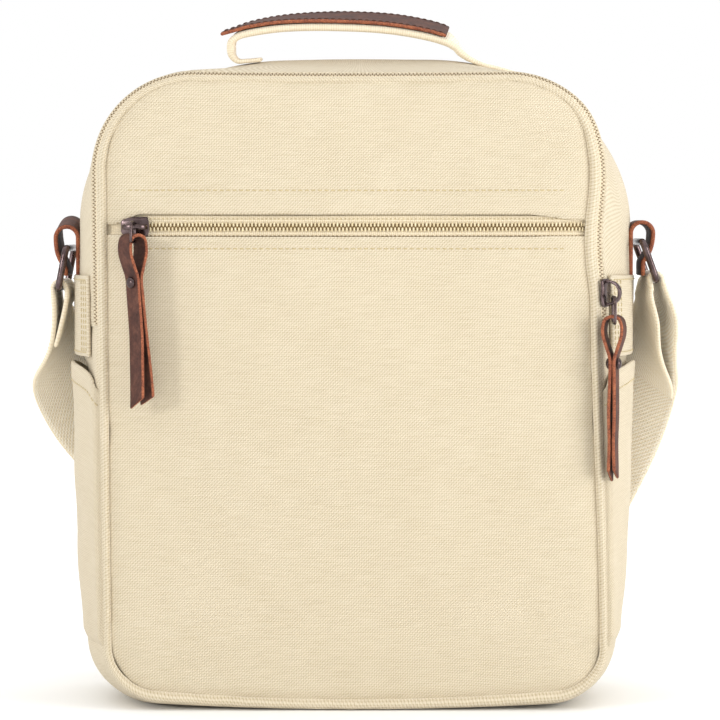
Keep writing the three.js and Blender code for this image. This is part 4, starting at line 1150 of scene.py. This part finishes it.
CHAIN_TOP_MAIN, CHAIN_TOP_POCKET = 0.5, 1.4
SLIDER_LONG, SLIDER_WIDE, SLIDER_PLATE = 13.0, 9.0, 1.2
BRIDGE_WIDE, BRIDGE_THICK, BRIDGE_REACH = 2.4, 1.4, 4.6
PULL_RING_HALF, PULL_RING_WIRE, PULL_RING_CORNER, PULL_RIVET = 7.7, 0.65, 2.2, -18.5
PULL_WIDE, PULL_THICK = 9.0, 1.5
# One leg of a pull's eye: sideways and up from its hinge
PULL_LEG = np.array([(-1.0, -24.0), (-1.0, -16.5), (-2.6, -11.0), (-4.25, -5.5), (-4.3, -1.2), (-3.1, 2.0)])
CUT_FROM, CUT_SLANT = -52.0, (5.0, 4.0)  # the pulls' two ends are cut aslant below this height
POCKET_BRIDGE, MAIN_BRIDGE = 3.6, 6.0  # how high the sliders' bridges rise
# Where the wire loops' tops and the pulls' hinges are, up from their sliders
POCKET_RING_TOP, POCKET_HINGE, MAIN_RING_TOP, MAIN_HINGE = 2.2, -6.8, -1.8, -13.8
MAIN_OUT, MAIN_FORWARD = 3.2, 5.0  # the right pull's hinge, out from its slider's plate and to the front
POCKET_YAW, POCKET_SKEW, POCKET_LENGTH, POCKET_LEAN = 3.0, 42.0, 74.0, 4.5
MAIN_PULL_Z, MAIN_SKEW, MAIN_LENGTH = 193.5, -15.0, 71.0


def squared_off(wave, power):
    """A wave with flattened crests, for squares with round corners."""
    return np.sign(wave) * np.abs(wave) ** power


def slider(name, at, way, out, rise, rail):
    """A zip slider: a waisted plate with rolled rails and a bridge over it. way is along the zip."""
    across = np.cross(out, way)

    def place(points):
        return at + points[..., :1] * way + points[..., 1:2] * across + points[..., 2:3] * out

    turn = circle(48)
    x = SLIDER_LONG / 2 * squared_off(np.cos(turn), 0.45)
    waist = 0.86 + 0.14 * np.cos(math.pi * (x / SLIDER_LONG + 0.12) * 2.0) ** 2
    y = SLIDER_WIDE / 2 * squared_off(np.sin(turn), 0.45) * waist
    levels = ((GAP, 0.90), (GAP + 0.25, 1.0), (GAP + SLIDER_PLATE * 0.6, 1.0), (GAP + SLIDER_PLATE, 0.88))
    rings = np.stack([place(together(x * k, y * k, z)) for z, k in levels])
    parts = [bare_loft(rings, dark_metal)]
    if rail > 0:
        run = np.linspace(-SLIDER_LONG / 2 + 0.8, SLIDER_LONG / 2 - 0.8, 12)
        for side in (-1, 1):
            edge = together(run, side * (SLIDER_WIDE / 2 - 0.45), GAP - rail / 2)
            parts.append(tube(place(edge), rail / 2 + 0.1, dark_metal, out, 10, False))
    seat = GAP + SLIDER_PLATE - 0.4
    turn = np.radians(np.linspace(0, 180, 25))
    middle = BRIDGE_REACH + BRIDGE_THICK / 2
    high = rise + BRIDGE_THICK / 2 + 0.4
    arch = place(together(middle * np.cos(turn), 0 * turn, seat + high * np.sin(turn) ** 0.8))
    lift = unit(np.cross(across, unit(np.gradient(arch, axis=0))))
    turn = circle(12)
    wide = BRIDGE_WIDE / 2 * squared_off(np.cos(turn), 0.6)
    deep = BRIDGE_THICK / 2 * squared_off(np.sin(turn), 0.6)
    rings = arch[:, None] + across * wide[:, None] + lift[:, None] * deep[:, None]
    parts.append(bare_loft(rings, dark_metal))
    dress(name, parts, sharp=50)


def leather_pull(name, hinge, sideways, back, length, spread, lean):
    """A strip folded round the wire into an eye, riveted below it, its two ends hanging split. lean is how
    far to the right they end."""
    way = np.vstack(
        [
            [(-3.4 * spread, 0.4 - length), (-2.7 * spread, -length * 0.78), (-1.5, -42.0)],
            PULL_LEG,
            (0.0, 3.15),
            PULL_LEG[::-1] * (-1, 1),
            [(1.1, -42.0), (1.7 * spread, -length * 0.78), (2.4 * spread, 0.8 - length)],
        ]
    )
    line = centripetal(np.c_[way, 0 * way[:, :1]], np.linspace(0, len(way) - 1, 150))
    along_line = unit(np.gradient(line[:, :2], axis=0))
    face = line[:, :2] + PULL_THICK / 2 * np.stack([-along_line[:, 1], along_line[:, 0]], -1)
    x, z = face[:, :1], face[:, 1:]
    w = np.linspace(-PULL_WIDE / 2, PULL_WIDE / 2, 11)
    slant = np.where(np.arange(len(line)) < len(line) / 2, *CUT_SLANT)[:, None] * (w / PULL_WIDE + 0.5)
    z = z - (slant - 3.0) * ramp(z, CUT_FROM, -length)
    grid = hinge + x[..., None] * sideways + w[:, None] * back + z[..., None] * UP
    grid[..., 0] += lean * ramp(z, 0.0, -length)
    uv = together(w[None, :], along(line)[:, None])
    part = shell(grid, PULL_THICK, leather_face, -1, uv=uv, rim=leather_edge)
    dress(name, [part.facing_out()], body=name)
    seat = 2.0 + GAP
    head = [(0.4, seat + 1.3), (1.2, seat + 1.25), (2.0, seat + 0.9), (2.55, seat + 0.35), (2.7, seat - 0.1)]
    profile = head + [(1.0, seat - 0.1), (1.0, 0.1 - seat)] + [(r, -h) for r, h in head[::-1]]
    rivet_at = hinge + np.array([lean * ramp(PULL_RIVET, 0.0, -length), 0, PULL_RIVET])
    rivet = lathe(profile, rivet_at, sideways, dark_metal)
    dress(f"{name}_rivet", [rivet], body=name, sharp=45)


def turned_about_up(direction, degrees):
    c, s = math.cos(math.radians(degrees)), math.sin(math.radians(degrees))
    return np.array([c * direction[0] - s * direction[1], s * direction[0] + c * direction[1], direction[2]])


def zip_pull(name, hinge, ring_top, out, skew, length, spread, lean):
    """A slider's wire loop and the leather pull on it. skew turns the pull away from the loop's plane."""
    high = (ring_top - hinge[2]) / 2
    loop = rounded_loop(hinge + high * UP, out, UP, PULL_RING_HALF, high, PULL_RING_CORNER)
    wire = tube(loop, PULL_RING_WIRE, dark_metal, np.cross(out, UP), 10)
    dress(f"{name}_ring", [wire])
    turned = turned_about_up(out, skew)
    leather_pull(name, hinge, np.cross(UP, turned), -turned, length, spread, lean)


def pocket_hardware():
    centre, _, normal = (line[0] for line in pocket_zip_line(np.array([POCKET_PULL_X])))
    out = unit(np.array([normal[0], normal[1], 0.0]))
    way = np.cross(UP, out)
    seat = centre + CHAIN_TOP_POCKET * normal
    slider("pocket_slider", seat, way, out, POCKET_BRIDGE, CHAIN_TOP_POCKET - GAP)
    back = CHAIN_TOP_POCKET + GAP + SLIDER_PLATE + GAP + PULL_RING_WIRE
    ring_out = turned_about_up(out, POCKET_YAW)
    hinge = centre + back * out + PULL_RING_HALF * ring_out + POCKET_HINGE * UP
    top = centre[2] + POCKET_RING_TOP
    zip_pull("pocket_pull", hinge, top, ring_out, POCKET_SKEW, POCKET_LENGTH, 1.0, POCKET_LEAN)


def main_hardware():
    row = girth(2.5)
    s = 3 + (MAIN_PULL_Z - SEAM_Z) / (row["top"] - row["top_high"] - SEAM_Z)
    centre, _, normal = (line[1] for line in main_zip_line(s + np.array([-1e-3, 0, 1e-3])))
    seat = centre + CHAIN_TOP_MAIN * normal
    slider("main_slider", seat, UP, unit(normal * (1, 1, 0)), MAIN_BRIDGE, 0.0)
    through = seat + (GAP + SLIDER_PLATE + MAIN_OUT) * normal
    hinge = np.array([through[0], through[1] - MAIN_FORWARD, seat[2] + MAIN_HINGE])
    top = seat[2] + MAIN_RING_TOP
    zip_pull("main_pull", hinge, top, np.array([0, -1.0, 0]), MAIN_SKEW, MAIN_LENGTH, 0.45, 0.0)


pocket_hardware()
main_hardware()

# Stage: a pale floor, a white room and three softboxes

floor_mesh = bpy.data.meshes.new("floor")
FLOOR_REACH = 20.0  # metres
floor_corners = [(x * FLOOR_REACH, y * FLOOR_REACH, 0) for x, y in ((-1, -1), (1, -1), (1, 1), (-1, 1))]
floor_mesh.from_pydata(floor_corners, [], [(0, 1, 2, 3)])
floor = bpy.data.objects.new("floor", floor_mesh)
bpy.context.scene.collection.objects.link(floor)
paper, paper_tree = new_material("matt_white_paper")
paper_place = node(paper_tree, "ShaderNodeTexCoord", out="Object")
paper_tint = noise(paper_tree, paper_place, 1 / 3.0)
paper_colour = ramp_of(paper_tree, paper_tint, ((0.3, "#F4F4F3"), (0.7, "#F8F8F7")))
# Away from the bag the paper is lit from below, so that floor and room meet without a line
paper_far = node(paper_tree, VECTOR, {0: paper_place}, out="Value", operation="LENGTH")
paper_glow = node(
    paper_tree, MAP_RANGE, {"Value": paper_far, "From Min": 0.25, "From Max": 1.6, "To Max": 0.2}
)
surface(
    paper_tree,
    {
        "Base Color": paper_colour,
        "Roughness": 0.95,
        "Emission Color": (1, 1, 1, 1),
        "Emission Strength": paper_glow,
    },
)
floor_mesh.materials.append(paper)

world = bpy.data.worlds.new("white_room")
world.use_nodes = True
world.node_tree.nodes.clear()
bpy.context.scene.world = world
room = world.node_tree
room_x = node(room, "ShaderNodeSeparateXYZ", {"Vector": node(room, "ShaderNodeTexCoord", out="Generated")})
room_y, room_z = (room_x.node.outputs[axis] for axis in "YZ")
# White behind and overhead, dim in front, where the softboxes do the lighting
behind = node(
    room, MAP_RANGE, {"Value": room_y, "From Min": -0.2, "From Max": 0.05, "To Min": 0.6, "To Max": 1.0}
)
overhead = node(room, MAP_RANGE, {"Value": room_z, "From Min": 0.35, "From Max": 0.6, "To Max": 1.3})
white = maths(room, "MAXIMUM", behind, overhead)
backdrop = node(room, "ShaderNodeBackground", {"Color": (1, 1, 1, 1), "Strength": white})
node(room, "ShaderNodeOutputWorld", {"Surface": backdrop})


LIT_POINT = Vector((0.0, 0.0, 0.15))  # what the softboxes point at, in metres


def softbox(name, place, size, watts):
    light = bpy.data.lights.new(name, "AREA")
    light.shape = "SQUARE"
    light.size = size
    light.energy = watts
    lamp = bpy.data.objects.new(name, light)
    bpy.context.scene.collection.objects.link(lamp)
    lamp.location = place
    lamp.rotation_euler = (LIT_POINT - Vector(place)).to_track_quat("-Z", "Y").to_euler()


softbox("key", (-3.1, -2.6, 1.1), 0.7, 54)
softbox("fill", (1.7, -0.9, 0.5), 0.9, 20)
softbox("front", (0.1, -2.3, 0.35), 2.2, 5)
bpy.context.scene.view_settings.view_transform = "Standard"
